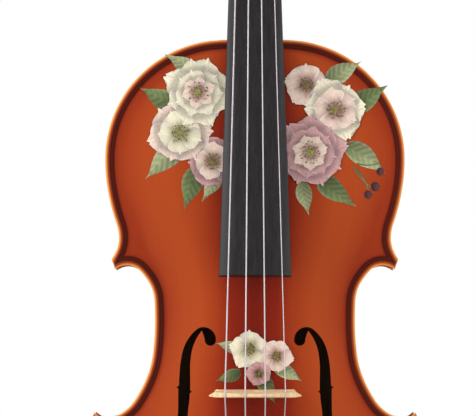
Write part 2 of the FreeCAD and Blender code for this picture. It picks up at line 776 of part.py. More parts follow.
half_box_cell = len(sheet_rows) + 1
for letter, string in strings.items():
    centre = peg_centre(string)
    half_box = pegbox_half_width(centre.y)
    alias = "half_box_" + letter
    sheet.set("A%d" % half_box_cell, alias)
    sheet.set("B%d" % half_box_cell, "=(pegbox_width + (throat_width - pegbox_width) * (pegbox_length * %s)"
              " / (scroll_centre_reach - nut_length)) / 2" % string["along_share"])
    sheet.setAlias("B%d" % half_box_cell, alias)
    half_box_cell += 1
    doc.recompute()
    half = "sizes." + alias
    collar = "(%s + sizes.peg_gap)" % half
    head_start = "(%s + 2 * sizes.peg_collar_length)" % collar
    pieces = [
        bound("Part::Cone", "shaft_" + letter, Radius1="sizes.peg_thin", Radius2="sizes.peg_thick",
              Height="%s + %s + sizes.peg_proud" % (collar, half), _at_z="-%s - sizes.peg_proud" % half),
        bound("Part::Cylinder", "collar_" + letter, Radius="sizes.peg_collar",
              Height="sizes.peg_collar_length", _at_z=collar),
        bound("Part::Cone", "waist_" + letter, Radius1="sizes.peg_thick", Radius2="sizes.peg_waist",
              Height="sizes.peg_waist_length", _at_z="%s + sizes.peg_collar_length" % collar),
        bound("Part::Cone", "pin_" + letter, Radius1="sizes.peg_pin", Radius2="sizes.peg_pin / 2",
              Height="sizes.peg_pin", _at_z="%s + 2 * sizes.peg_head - sizes.peg_head_rim" % head_start),
    ]
    peg = doc.addObject("Part::MultiFuse", "peg_" + letter)
    peg.Shapes = pieces + thumb_pieces(letter, "(%s + sizes.peg_head)" % head_start)
    peg.Label = "peg_" + letter
    doc.recompute()
    turn = Rotation(Vector(0, 1, 0), 90 * string["head"])
    peg.Placement = neck_place.multiply(Placement(centre, turn))
    parts.append(peg)
    for side in (-1, 1):
        cheek = side * (half_box - mm.cheek_thick / 2)
        bore = Part.makeCylinder(peg_radius(cheek, half_box) + mm.bore_gap, mm.cheek_thick + 2 * mm.peg_proud,
                                 Vector(0, 0, cheek - mm.cheek_thick / 2 - mm.peg_proud))
        bore.Placement = peg.Placement
        neck = neck.cut(bore)
keep_shape("neck", neck)

bridge_along = mm.body_length - mm.stop_length
bridge_crest = mm.belly_arch + mm.bridge_height

# Half outline of the bridge from the end of its top round to the start of its arch, as shares of its width
# and of its height.
foot_inner_share = 0.17
foot_outer_share = 0.415
bridge_arch_share = 0.12
bridge_shares = [
    (0.42, 0.885), (0.475, 0.80), (0.5, 0.70), (0.47, 0.60), (0.40, 0.56), (0.33, 0.585), (0.30, 0.53),
    (0.345, 0.42), (0.37, 0.25), (foot_outer_share, 0.10), (foot_outer_share, 0.0), (foot_inner_share, 0.0),
    (foot_inner_share, 0.06),
]
heart_shares = [(0.0, 0.52), (0.07, 0.58), (0.11, 0.66), (0.09, 0.72), (0.045, 0.735), (0.0, 0.69)]


def bridge():
    """The bridge seen from the scroll, thinned from its feet to its top on the side of the fingerboard."""
    wide = mm.bridge_width
    tall = mm.bridge_height

    def place(share):
        return Vector(share[0] * wide, share[1] * tall, 0)

    top_half = mm.bridge_top_width / 2
    top_end = Vector(top_half, tall - crown(top_half, mm.bridge_radius), 0)
    corners = [top_end] + [place(share) for share in bridge_shares]
    right = [Part.makeLine(a, b) for a, b in zip(corners, corners[1:])]
    left = [mirrored(edge) for edge in right]
    arch_end = corners[-1]
    top = Part.Arc(Vector(-top_end.x, top_end.y, 0), Vector(0, tall, 0), top_end).toShape()
    arch_rise = Vector(0, arch_end.y + bridge_arch_share * tall, 0)
    arch = Part.Arc(arch_end, arch_rise, Vector(-arch_end.x, arch_end.y, 0)).toShape()
    face = Part.Face(Part.Wire(Part.__sortEdges__(right + left + [top, arch])))
    heart_right = [place(share) for share in heart_shares]
    heart_left = [Vector(-point.x, point.y, 0) for point in heart_right[-2:0:-1]]
    heart = Part.Face(Part.makePolygon(heart_right + heart_left + heart_right[:1]))
    foot = mm.bridge_foot_thick
    solid = prism(face, 0, foot).cut(prism(heart, -mm.cut_over, foot + mm.cut_over))
    slope = foot - mm.bridge_top_thick
    wedge = Part.Face(Part.makePolygon([Vector(-wide, 0, foot), Vector(-wide, tall, foot - slope),
                                        Vector(-wide, tall + mm.cut_over, foot - slope),
                                        Vector(-wide, tall + mm.cut_over, foot + slope),
                                        Vector(-wide, 0, foot + slope), Vector(-wide, 0, foot)]))
    solid = solid.cut(wedge.extrude(Vector(2 * wide, 0, 0)))
    solid.Placement = Placement(Vector(0, bridge_along - foot, mm.belly_arch),
                                Rotation(Vector(0, 1, 1), 180))
    return solid


def fitted_bridge():
    """The bridge let down on the arch, its feet cut to it."""
    shape = bridge()
    feet = []
    for side in (-1, 1):
        low, high = sorted(side * share * mm.bridge_width for share in (foot_inner_share, foot_outer_share))
        feet.append(block(low, high, bridge_along - mm.bridge_foot_thick, bridge_along,
                          mm.belly_arch - mm.bridge_foot_sink, mm.belly_arch + mm.turning_gap))
    return shape.fuse(feet).cut(belly)


keep_shape("bridge", fitted_bridge())

# The tailpiece's own frame: y runs up to its top end, z out of its top face.
tail_spacing_share = 0.68
tail_ridge_share = 0.96
tail_end = bridge_along - mm.after_length
tail_place = Placement(Vector(0, tail_end, mm.tail_rise), Rotation(Vector(1, 0, 0), mm.tail_angle))


def on_tail(shape):
    moved = shape.copy()
    moved.Placement = tail_place.multiply(moved.Placement)
    return moved


def tail_strip(plan, low, high):
    """A strip between two depths under the crest of the round top, cut to a plan."""
    outer, inner = [Part.makeCylinder(mm.tail_radius + depth, 2 * mm.tail_length,
                                      Vector(0, -3 * mm.tail_length / 2, -mm.tail_radius), Vector(0, 1, 0))
                    for depth in (high, low)]
    return prism(plan, -mm.tail_radius, mm.tail_radius).common(outer.cut(inner))


def string_place(string, spacing):
    """Distance of a string from the centre joint where the outer two stand a spacing apart."""
    return spacing * string["across_share"]


def tail_crest(across):
    return -crown(abs(across), mm.tail_radius)


tail_spacing = mm.tail_top_width * tail_spacing_share
half_top = mm.tail_top_width / 2
half_end = mm.tail_end_width / 2
tailpiece = tail_strip(polygon([(-half_top, 0), (half_top, 0), (half_end, -mm.tail_length),
                                (-half_end, -mm.tail_length)]), -mm.tail_thick, 0)
half_ridge = half_top * tail_ridge_share
ridge_middle = -3 * mm.tail_ridge / 2
ridge = tail_strip(polygon([(-half_ridge, -mm.tail_ridge), (half_ridge, -mm.tail_ridge),
                            (half_ridge, -2 * mm.tail_ridge), (-half_ridge, -2 * mm.tail_ridge)]),
                   -mm.tail_ridge, mm.tail_ridge)
tailpiece = tailpiece.fuse(ridge)
for letter, string in strings.items():
    across = string_place(string, tail_spacing)
    slot_half = mm.lever_width / 2 + mm.standing_gap
    slot = block(across - slot_half, across + slot_half, -mm.pivot_behind, -mm.hook_behind + mm.lever_thick,
                 -2 * mm.tail_thick - mm.cut_over, mm.cut_over)
    shank_hole = Part.makeCylinder(mm.tuner_shank + mm.turning_gap, 4 * mm.cut_over,
                                   Vector(across, -mm.tuner_behind, -2 * mm.cut_over))
    tailpiece = tailpiece.cut([slot, shank_hole])
keep_shape("tailpiece", on_tail(tailpiece))


def profile(body, role, corners):
    """A closed sketch on one of the body's own planes, each corner held by a pair of formulas."""
    plane = [feature for feature in body.Origin.OriginFeatures if feature.Role == role][0]
    drawing = body.newObject("Sketcher::SketchObject", body.Name + "_profile")
    drawing.AttachmentSupport = [(plane, "")]
    drawing.MapMode = "FlatFace"
    places = []
    for across, up in corners:
        places.append(Vector(float(body.evalExpression(across)), float(body.evalExpression(up)), 0))
    sides = list(zip(places, places[1:] + places[:1]))
    drawing.addGeometry([Part.LineSegment(a, b) for a, b in sides], False)
    for i in range(len(sides)):
        drawing.addConstraint(Sketcher.Constraint("Coincident", i, 2, (i + 1) % len(sides), 1))
    for i, (across, up) in enumerate(corners):
        for kind, formula, start in (("DistanceX", across, places[i].x), ("DistanceY", up, places[i].y)):
            number = drawing.addConstraint(Sketcher.Constraint(kind, -1, 1, i, 1, start))
            drawing.setExpression("Constraints[%d]" % number, formula)
    return drawing


def new_body(name):
    body = doc.addObject("PartDesign::Body", name)
    body.Label = name
    parts.append(body)
    return body


def turned_body(name, corners):
    """A piece turned on a lathe about its own z axis, from pairs of radius and height."""
    body = new_body(name)
    drawing = profile(body, "XZ_Plane", corners)
    turned = body.newObject("PartDesign::Revolution", name + "_turned")
    turned.Profile = drawing
    axis = [feature for feature in body.Origin.OriginFeatures if feature.Role == "Z_Axis"][0]
    turned.ReferenceAxis = (axis, [""])
    turned.Angle = 360
    doc.recompute()
    return body


def sawn_body(name, role, corners, thickness, symmetric=True):
    """A piece of even thickness sawn to a side view."""
    body = new_body(name)
    drawing = profile(body, role, corners)
    pad = body.newObject("PartDesign::Pad", name + "_pad")
    pad.Profile = drawing
    pad.setExpression("Length", thickness)
    pad.Midplane = symmetric
    doc.recompute()
    return body


knob = turned_body("end_button", [
    ("0", "0"), ("sizes.knob_flat_share * sizes.knob_radius", "0"),
    ("sizes.knob_radius", "sizes.knob_shoulder_share * sizes.knob_length"),
    ("sizes.knob_radius", "(1 - sizes.knob_shoulder_share) * sizes.knob_length"),
    ("sizes.knob_neck_share * sizes.knob_radius", "sizes.knob_length"),
    ("sizes.button_shank", "sizes.knob_length"),
    ("sizes.button_shank", "sizes.knob_length + sizes.knob_standoff"),
    ("sizes.button_shank", "sizes.knob_length + sizes.knob_standoff + sizes.block_depth"),
    ("0", "sizes.knob_length + sizes.knob_standoff + sizes.block_depth"),
])
knob.Placement = Placement(Vector(0, mm.overhang - mm.knob_standoff - mm.knob_length, -mm.rib_height / 2),
                           Rotation(Vector(1, 0, 0), -90))
saddle = sawn_body("saddle", "YZ_Plane", [
    ("0", "0"), ("sizes.saddle_depth", "0"), ("sizes.saddle_depth", "sizes.plate_edge"),
    ("sizes.saddle_crest_share * sizes.saddle_depth", "sizes.plate_edge + sizes.saddle_rise"),
    ("sizes.saddle_front_share * sizes.saddle_depth", "sizes.plate_edge + sizes.saddle_rise"),
    ("0", "sizes.plate_edge + sizes.saddle_crest_share * sizes.saddle_rise"),
], "sizes.saddle_width")

for letter, string in strings.items():
    across = string_place(string, tail_spacing)
    crest = tail_crest(across)
    screw = turned_body("tuner_screw_" + letter, [
        ("0", "-sizes.tail_thick - sizes.lever_drop + sizes.standing_gap"),
        ("sizes.tuner_shank", "-sizes.tail_thick - sizes.lever_drop + sizes.standing_gap"),
        ("sizes.tuner_shank", "sizes.tuner_knob"),
        ("sizes.tuner_knob", "sizes.tuner_knob"),
        ("sizes.tuner_knob", "sizes.tuner_knob + sizes.screw_rim_share * sizes.tuner_knob_height"),
        ("sizes.screw_rim_share * sizes.tuner_knob", "sizes.tuner_knob + sizes.tuner_knob_height"),
        ("0", "sizes.tuner_knob + sizes.tuner_knob_height"),
    ])
    screw.Placement = tail_place.multiply(Placement(Vector(across, -mm.tuner_behind, crest), Rotation()))
    lever = sawn_body("tuner_lever_" + letter, "YZ_Plane", [
        ("sizes.pivot_behind - sizes.tuner_behind - sizes.tuner_shank", "0"),
        ("sizes.pivot_behind - sizes.tuner_behind - sizes.tuner_shank", "-sizes.lever_thick"),
        ("sizes.pivot_behind - sizes.hook_behind", "-sizes.lever_thick"),
        ("sizes.pivot_behind - sizes.hook_behind", "sizes.lever_drop + sizes.tail_thick + sizes.hook_height"),
        ("sizes.pivot_behind - sizes.hook_behind - sizes.lever_thick",
         "sizes.lever_drop + sizes.tail_thick + sizes.hook_height"),
        ("sizes.pivot_behind - sizes.hook_behind - sizes.lever_thick", "0"),
    ], "sizes.lever_width")
    lever.Placement = tail_place.multiply(Placement(
        Vector(across, -mm.pivot_behind, crest - mm.tail_thick - mm.lever_drop), Rotation()))


def tangent_route(points, radii):
    """Straight runs through points, joined at each inner point by a tangent arc of its own radius."""
    edges = []
    here = points[0]
    for before, corner, after, radius in zip(points, points[1:], points[2:], radii):
        arriving = (corner - before).normalize()
        leaving = (after - corner).normalize()
        half_turn = arriving.getAngle(leaving) / 2
        cut_back = radius * math.tan(half_turn)
        first = corner - arriving * cut_back
        last = corner + leaving * cut_back
        inward = (leaving - arriving).normalize()
        centre = corner + inward * (radius / math.cos(half_turn))
        edges.append(Part.makeLine(here, first))
        edges.append(Part.Arc(first, centre - inward * radius, last).toShape())
        here = last
    edges.append(Part.makeLine(here, points[-1]))
    return edges


tube_side_count = 6


def tube(name, edges, radius):
    """One unbroken tube along a route, with its volume compared with section times length."""
    path = Part.Wire(edges)
    first = edges[0]
    start = first.Vertexes[0].Point
    along = first.tangentAt(first.FirstParameter)
    turn = Rotation(Vector(0, 0, 1), along)
    corners = [start + turn.multVec(heading(360 * side / tube_side_count)) * radius
               for side in range(tube_side_count)]
    section = Part.makePolygon(corners + corners[:1])
    solid = path.makePipeShell([section], True, False)
    expected = Part.Face(section).Area * path.Length
    print("%s: length %.1f, volume off by %.2f%%" % (name, path.Length, 100 * (solid.Volume / expected - 1)))
    return solid


winding_quarter_count = 7
winding_step_count = 72
for letter, string in strings.items():
    radius = getattr(mm, "string_" + letter)
    head_side = string["head"]
    centre = peg_centre(string)
    pitch = 2 * radius + mm.winding_gap
    turn_radius = peg_radius(0, pegbox_half_width(centre.y)) + mm.standing_gap + radius

    across = string_place(string, mm.nut_spacing)
    nut_top = board_crest(mm.neck_length) + mm.nut_rise - crown(abs(across), mm.board_radius)
    over_nut = Vector(across, mm.neck_length + mm.nut_length / 2, nut_top + radius + mm.turning_gap * 2)

    inner_half = pegbox_half_width(centre.y) - mm.cheek_thick
    x_start = head_side * string["start_share"] * inner_half
    away = over_nut - centre
    distance = math.hypot(away.y, away.z)
    angle_start = math.atan2(away.y, away.z) + math.acos(turn_radius / distance)
    climb = head_side * pitch / (2 * math.pi)

    def winding_point(angle):
        return Vector(x_start + climb * (angle - angle_start), centre.y + turn_radius * math.sin(angle),
                      centre.z + turn_radius * math.cos(angle))

    def winding_heading(angle):
        return Vector(climb, turn_radius * math.cos(angle), -turn_radius * math.sin(angle)).normalize()

    angles = [angle_start + math.pi / 2 * quarter for quarter in range(winding_quarter_count + 1)]
    coil = []
    for here, there in zip(angles, angles[1:]):
        coil += two_arcs(winding_point(here), winding_heading(here),
                         winding_point(there), winding_heading(there))
    last = winding_point(angles[-1])
    coil.append(Part.makeLine(last, last + winding_heading(angles[-1]) * (2 * radius)))
    coil = [on_neck(edge) for edge in coil]
    points = [winding_point(angle_start + 2 * math.pi * i / winding_step_count)
              for i in range(winding_step_count // 4 * winding_quarter_count)]
    gap = min((a - b).Length for i, a in enumerate(points)
              for b in points[i + winding_step_count // 2:]) - 2 * radius
    print("string_%s: least gap in its winding %.2f" % (letter, gap))

    on_tail_across = string_place(string, tail_spacing)
    crest = tail_crest(on_tail_across) + mm.tail_ridge + radius
    at_bridge = string_place(string, mm.bridge_spacing)
    bridge_top = bridge_crest - crown(abs(at_bridge), mm.bridge_radius)
    route = [
        tail_place.multVec(Vector(on_tail_across, -mm.hook_behind + mm.standing_gap, crest)),
        tail_place.multVec(Vector(on_tail_across, ridge_middle, crest + mm.turning_gap)),
        Vector(at_bridge, bridge_along - mm.bridge_foot_thick + mm.bridge_top_thick / 2,
               bridge_top + radius + mm.turning_gap),
        neck_place.multVec(over_nut),
        neck_place.multVec(winding_point(angle_start) - winding_heading(angle_start) * mm.string_lead),
        neck_place.multVec(winding_point(angle_start)),
    ]
    bends = [mm.string_bend, mm.string_bend, mm.string_bend, mm.string_lead]
    for end in (route[2], route[4]):
        run = (end - route[3]).normalize()
        nut = nut.cut(Part.makeCylinder(radius + 2 * mm.turning_gap, mm.nut_length, route[3], run))
    keep_shape("string_" + letter, tube("string_" + letter, tangent_route(route, bends) + coil, radius))

keep_shape("nut", nut)

# The gut comes out under the tailpiece, bends over the saddle and loops round the end button.
loop_radius = mm.button_shank + mm.gut_radius + mm.turning_gap
loop_along = -mm.gut_radius - mm.turning_gap
knob_height = -mm.rib_height / 2
over_saddle = Vector(-loop_radius, loop_along, mm.plate_edge + mm.saddle_rise + mm.gut_radius)
gut_crown = crown(loop_radius + mm.gut_radius, mm.tail_radius)
under_tail = -mm.tail_thick - gut_crown - mm.gut_radius - mm.standing_gap
gut_start = tail_place.multVec(Vector(-loop_radius, mm.gut_tuck - mm.tail_length, under_tail))
gut_leaves = tail_place.multVec(Vector(-loop_radius, -mm.tail_length, under_tail))
strand = tangent_route([gut_start, gut_leaves, over_saddle, Vector(-loop_radius, loop_along, knob_height)],
                       [mm.string_bend, mm.string_bend])
other_strand = [mirrored(edge) for edge in strand]
knob_centre = Vector(0, loop_along, knob_height)
quarter = Vector(0, loop_along, knob_height - loop_radius)
diagonal = loop_radius * math.sqrt(0.5)
loop = [Part.Arc(Vector(side * loop_radius, loop_along, knob_height),
                 Vector(side * diagonal, loop_along, knob_height - diagonal), quarter).toShape()
        for side in (-1, 1)]
gut_path = Part.__sortEdges__(strand + loop + other_strand)
keep_shape("tail_gut", tube("tail_gut", gut_path, mm.gut_radius))

# The hanger holds the neck just under the pegbox: the whole violin is hung upright from that point.
grip = neck_place.multVec(Vector(0, mm.neck_length - mm.nut_length, -mm.neck_depth / 2))
upright = Placement(Vector(0, 0, 0), Rotation(Vector(1, 0, 0), 90))
hung = upright.multiply(Placement(grip * -1, Rotation()))
for piece in parts:
    piece.Placement = hung.multiply(piece.Placement)
doc.recompute()

for item in doc.Objects:
    if "Invalid" in item.State or "Error" in item.State:
        raise RuntimeError("%s failed to build" % item.Label)
for piece in parts:
    if piece.Shape.isNull() or not piece.Shape.isValid():
        raise RuntimeError("%s is not a sound solid" % piece.Label)
for piece in parts:
    piece.Shape.exportStep("parts/%s.step" % piece.Label)
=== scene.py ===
import json
import math
import random

import bmesh
import bpy
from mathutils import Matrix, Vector, kdtree
from mathutils.geometry import delaunay_2d_cdt


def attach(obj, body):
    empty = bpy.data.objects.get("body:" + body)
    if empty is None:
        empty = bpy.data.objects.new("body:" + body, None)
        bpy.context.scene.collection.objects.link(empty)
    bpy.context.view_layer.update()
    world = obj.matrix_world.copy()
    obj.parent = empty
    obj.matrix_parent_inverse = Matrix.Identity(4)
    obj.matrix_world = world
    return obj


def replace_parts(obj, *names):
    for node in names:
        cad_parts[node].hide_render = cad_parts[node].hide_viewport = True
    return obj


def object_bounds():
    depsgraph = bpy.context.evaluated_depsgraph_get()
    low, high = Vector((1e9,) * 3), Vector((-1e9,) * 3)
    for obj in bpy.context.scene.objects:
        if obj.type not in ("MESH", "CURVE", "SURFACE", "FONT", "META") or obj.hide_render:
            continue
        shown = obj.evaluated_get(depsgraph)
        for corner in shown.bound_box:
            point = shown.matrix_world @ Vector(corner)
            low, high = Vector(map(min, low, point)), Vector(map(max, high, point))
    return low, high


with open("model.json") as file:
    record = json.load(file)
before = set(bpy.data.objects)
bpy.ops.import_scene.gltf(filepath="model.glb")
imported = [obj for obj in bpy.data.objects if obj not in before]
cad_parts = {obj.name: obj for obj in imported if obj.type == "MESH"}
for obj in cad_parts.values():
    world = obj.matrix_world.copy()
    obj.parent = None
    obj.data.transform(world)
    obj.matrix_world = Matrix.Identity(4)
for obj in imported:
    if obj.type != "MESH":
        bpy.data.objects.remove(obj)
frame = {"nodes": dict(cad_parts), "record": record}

cadBox = [list(corner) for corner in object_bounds()]
nodes = frame["nodes"]
print("frame loaded:", len(nodes), "nodes")

# The violin is drawn in millimetres on the maker's bench: across to the treble side, along from the end
# button to the scroll, out of the belly. bench hangs it up in metres where the frame has it.
bench = {"unit": 0.001, "outDrop": -10.333, "alongDrop": -478.53}
sizes = {"bodyLength": 356.0, "upperBout": 168.0, "waist": 112.0, "lowerBout": 208.0, "ribHeight": 31.0,
         "overhang": 2.7, "plateEdge": 4.0, "archMargin": 6.0, "bridgeAlong": 159.5, "neckLean": 6.4,
         "neckRise": 9.7, "tailRise": 8.0, "tailStart": 104.5, "tailOut": 34.5, "tailRadius": 42.0}


def hung(across, along, out):
    return Vector((across * bench["unit"], (bench["outDrop"] - out) * bench["unit"],
                   (along + bench["alongDrop"]) * bench["unit"]))


def onNeck(across, along, out):  # the neck leans back from the belly's top edge
    lean = math.radians(sizes["neckLean"])
    return hung(across, sizes["bodyLength"] + along * math.cos(lean) + out * math.sin(lean),
                sizes["neckRise"] - along * math.sin(lean) + out * math.cos(lean))


def onTail(across, along, out):  # the tailpiece rises towards the bridge
    rise = math.radians(sizes["tailRise"])
    return hung(across, sizes["tailStart"] + along * math.cos(rise) - out * math.sin(rise),
                sizes["tailOut"] + along * math.sin(rise) + out * math.cos(rise))


def stand(name, data):
    made = bpy.data.objects.new(name, data)
    bpy.context.scene.collection.objects.link(made)
    return made


def shadeSmooth(mesh, sharpOver=None):
    mesh.polygons.foreach_set("use_smooth", [True] * len(mesh.polygons))
    if sharpOver:
        mesh.set_sharp_from_angle(angle=math.radians(sharpOver))


def meshOf(name, points, faces=()):
    mesh = bpy.data.meshes.new(name)
    mesh.from_pydata([tuple(p) for p in points], [], faces)
    return mesh


def makePiece(name, points, faces, finishes, faceFinish=None, sharpOver=None):
    mesh = meshOf(name, points, faces)
    mesh.validate()
    for finish in finishes:
        mesh.materials.append(finish)
    if faceFinish:
        mesh.polygons.foreach_set("material_index", faceFinish)
    shadeSmooth(mesh, sharpOver)
    return stand(name, mesh)


def reshape(mesh, merge, flatten=0.0, move=None, outwards=True):  # one pass over a mesh's points and faces
    shell = bmesh.new()
    shell.from_mesh(mesh)
    bmesh.ops.remove_doubles(shell, verts=shell.verts, dist=merge)
    if flatten:
        limit = math.radians(flatten)
        bmesh.ops.dissolve_limit(shell, angle_limit=limit, verts=shell.verts, edges=shell.edges)
    if move:
        for vert in shell.verts:
            vert.co = move(vert.co)
    if outwards:
        bmesh.ops.recalc_face_normals(shell, faces=shell.faces)
    shell.to_mesh(mesh)
    shell.free()


def easeEdges(piece, width, sharpOver):
    soften = piece.modifiers.new("ease", "BEVEL")
    soften.width = width * bench["unit"]
    soften.segments = 3
    soften.limit_method = "ANGLE"
    soften.angle_limit = math.radians(sharpOver)
    soften.harden_normals = True


def applyModifiers(piece):
    baked = bpy.data.meshes.new_from_object(piece.evaluated_get(bpy.context.evaluated_depsgraph_get()))
    piece.modifiers.clear()
    piece.data = baked
    return piece


def addPoints(piece, name, values):
    layer = piece.data.attributes.new(name, "FLOAT", "POINT")
    layer.data.foreach_set("value", values)


def wire(tree, kind, inputs=None, **settings):  # a node with its settings, and its inputs linked or set
    made = tree.nodes.new(kind)
    for setting, value in settings.items():
        setattr(made, setting, value)
    for socket, value in (inputs or {}).items():
        if isinstance(value, bpy.types.NodeSocket):
            tree.links.new(value, made.inputs[socket])
        else:
            made.inputs[socket].default_value = value
    return made


# Camera and light
view = {"lens": 337.5, "place": (-0.0095, -2.5143, -0.3005), "tilt": 1.902, "nearest": 0.01}
camera = stand("camera", bpy.data.cameras.new("camera"))
camera.data.lens = view["lens"]
camera.data.sensor_width = 36
camera.data.clip_start = view["nearest"]
camera.location = view["place"]
camera.rotation_euler = (math.radians(90 + view["tilt"]), 0, 0)
bpy.context.scene.camera = camera
bpy.context.scene.view_settings.view_transform = "Standard"

lamps = {
    "keyLamp": {"place": (-1.75, -1.0, 0.35), "size": (0.7, 1.6), "power": 26},
    "fillLamp": {"place": (1.8, -0.9, -0.05), "size": (0.6, 1.4), "power": 15},
    "topLamp": {"place": (0.0, -0.4, 1.5), "size": (1.2, 1.0), "power": 9},
    "backLamp": {"place": (0.3, 1.7, 0.6), "size": (1.2, 1.4), "power": 16},
}
lampsAim = Vector((0, 0, -0.28))
for lampName, lamp in lamps.items():
    light = bpy.data.lights.new(lampName, "AREA")
    light.shape = "RECTANGLE"
    light.size, light.size_y = lamp["size"]
    light.energy = lamp["power"]
    lightObject = stand(lampName, light)
    lightObject.location = lamp["place"]
    lightObject.rotation_euler = (lampsAim - Vector(lamp["place"])).to_track_quat("-Z", "Y").to_euler()

world = bpy.data.worlds.new("studio")
bpy.context.scene.world = world
world.use_nodes = True
air = world.node_tree
air.nodes.clear()
rays = wire(air, "ShaderNodeLightPath").outputs
soft = wire(air, "ShaderNodeBackground", {"Color": (1.0, 0.99, 0.975, 1), "Strength": 0.55}).outputs[0]
white = wire(air, "ShaderNodeBackground", {"Color": (1, 1, 1, 1), "Strength": 1.0}).outputs[0]
seen = rays["Is Camera Ray"]
for ray in ("Is Glossy Ray", "Is Transmission Ray"):
    seen = wire(air, "ShaderNodeMath", {0: seen, 1: rays[ray]}, operation="MAXIMUM").outputs[0]
sky = wire(air, "ShaderNodeMixShader", {0: seen, 1: soft, 2: white}).outputs[0]
wire(air, "ShaderNodeOutputWorld", {"Surface": sky})
print("camera and light ready")


# Finishes: one material each, with short calls that wire its nodes
class Finish:
    def __init__(self, name, **numbers):
        self.material = bpy.data.materials.new(name)
        self.material.use_nodes = True
        self.tree = self.material.node_tree
        self.shader = self.tree.nodes["Principled BSDF"]
        for socket, number in numbers.items():
            self.shader.inputs[socket.replace("_", " ")].default_value = number
        self.place = self.node("ShaderNodeTexCoord").outputs["Object"]

    def node(self, kind, inputs=None, **settings):
        return wire(self.tree, kind, inputs, **settings)

    def math(self, kind, first, second=0.0):
        return self.node("ShaderNodeMath", {0: first, 1: second}, operation=kind).outputs[0]

    def painted(self, name):
        return self.node("ShaderNodeAttribute", attribute_name=name).outputs["Fac"]

    def stretched(self, scale):
        return self.node("ShaderNodeMapping", {"Vector": self.place, "Scale": scale}).outputs[0]

    def noise(self, vector, scale, detail=3.0, distortion=0.0):
        return self.node("ShaderNodeTexNoise", {"Vector": vector, "Scale": scale, "Detail": detail,
                                                "Distortion": distortion}).outputs["Fac"]

    def bands(self, vector, direction, scale, distortion, detail=2.0, fineness=1.0):
        return self.node("ShaderNodeTexWave", {"Vector": vector, "Scale": scale, "Distortion": distortion,
                                               "Detail": detail, "Detail Scale": fineness},
                         bands_direction=direction).outputs["Fac"]

    def streaks(self, scale, detail, distortion=0.0):
        return self.noise(self.stretched(scale), 1.0, detail, distortion)

    def ramp(self, value, stops):
        made = self.node("ShaderNodeValToRGB", {"Fac": value})
        elements = made.color_ramp.elements
        while len(elements) < len(stops):
            elements.new(0.5)
        for element, (position, colour) in zip(elements, stops):
            element.position = position
            element.color = (*colour, 1)
        return made.outputs["Color"]

    def greys(self, value, *stops):
        return self.ramp(value, [(position, (level,) * 3) for position, level in stops])

    def blend(self, share, first, second, kind="MIX"):
        first, second = [colour if isinstance(colour, bpy.types.NodeSocket) else (*colour, 1)
                         for colour in (first, second)]
        made = self.node("ShaderNodeMix", {0: share, 6: first, 7: second}, data_type="RGBA", blend_type=kind)
        return made.outputs[2]

    def times(self, first, second, share=1.0):
        return self.blend(share, first, second, "MULTIPLY")

    def colour(self, socket):
        self.tree.links.new(socket, self.shader.inputs["Base Color"])

    def rough(self, value, low, high):
        spread = self.node("ShaderNodeMapRange", {"Value": value, "To Min": low, "To Max": high})
        self.tree.links.new(spread.outputs[0], self.shader.inputs["Roughness"])

    def bump(self, height, distance, strength=0.5):
        made = self.node("ShaderNodeBump", {"Height": height, "Distance": distance, "Strength": strength})
        self.tree.links.new(made.outputs[0], self.shader.inputs["Normal"])


def spruceFinish():
    wood = Finish("spruceVarnish", Specular_IOR_Level=0.02, Coat_Weight=0.13, Coat_Roughness=0.17,
                  Coat_IOR=1.45)
    grain = wood.bands(wood.stretched((1, 1, 0.03)), "X", 300.0, 1.4, 2.0, 0.6)
    cloud = wood.noise(wood.stretched((1, 1, 0.35)), 42.0, 3.0)
    arch = wood.painted("archShare")
    edge = wood.painted("edgeShare")
    broken = wood.math("ADD", arch, wood.math("MULTIPLY", wood.math("SUBTRACT", cloud, 0.5), 0.16))
    body = wood.ramp(broken, [  # deeper red varnish under the strings, orange at the sides, darker again at the arch's foot; partly painted shade at the middle and the foot, partly painted light on the slopes
        (0.0, (0.165, 0.010, 0.0035)), (0.26, (0.235, 0.016, 0.0045)), (0.42, (0.345, 0.040, 0.008)),
        (0.62, (0.415, 0.062, 0.012)), (0.80, (0.40, 0.058, 0.012)), (0.93, (0.36, 0.046, 0.010)),
        (1.0, (0.31, 0.034, 0.008))])
    rim = wood.ramp(edge, [  # a worn edge brightened with a painted highlight, then the purfling with painted shade in the channel round it
        (0.0, (0.88, 0.40, 0.09)), (0.03, (0.74, 0.25, 0.045)), (0.055, (0.34, 0.062, 0.013)),
        (0.09, (0.17, 0.018, 0.005)), (0.12, (0.040, 0.005, 0.003)), (0.14, (0.085, 0.008, 0.003)),
        (0.165, (0.085, 0.008, 0.003)), (0.185, (0.036, 0.004, 0.002)), (0.205, (0.12, 0.010, 0.003)),
        (0.235, (0.26, 0.025, 0.007)), (1.0, (0.33, 0.038, 0.010))])
    inward = wood.node("ShaderNodeMapRange", {"Value": edge, "From Min": 0.19, "From Max": 0.33},
                       interpolation_type="SMOOTHSTEP").outputs[0]
    lines = wood.greys(grain, (0.0, 0.86), (0.55, 1.0), (1.0, 1.05))
    wood.colour(wood.times(wood.blend(inward, rim, body), lines, 0.75))
    wood.rough(cloud, 0.34, 0.46)
    wood.bump(grain, 0.00003, 0.25)
    return wood.material


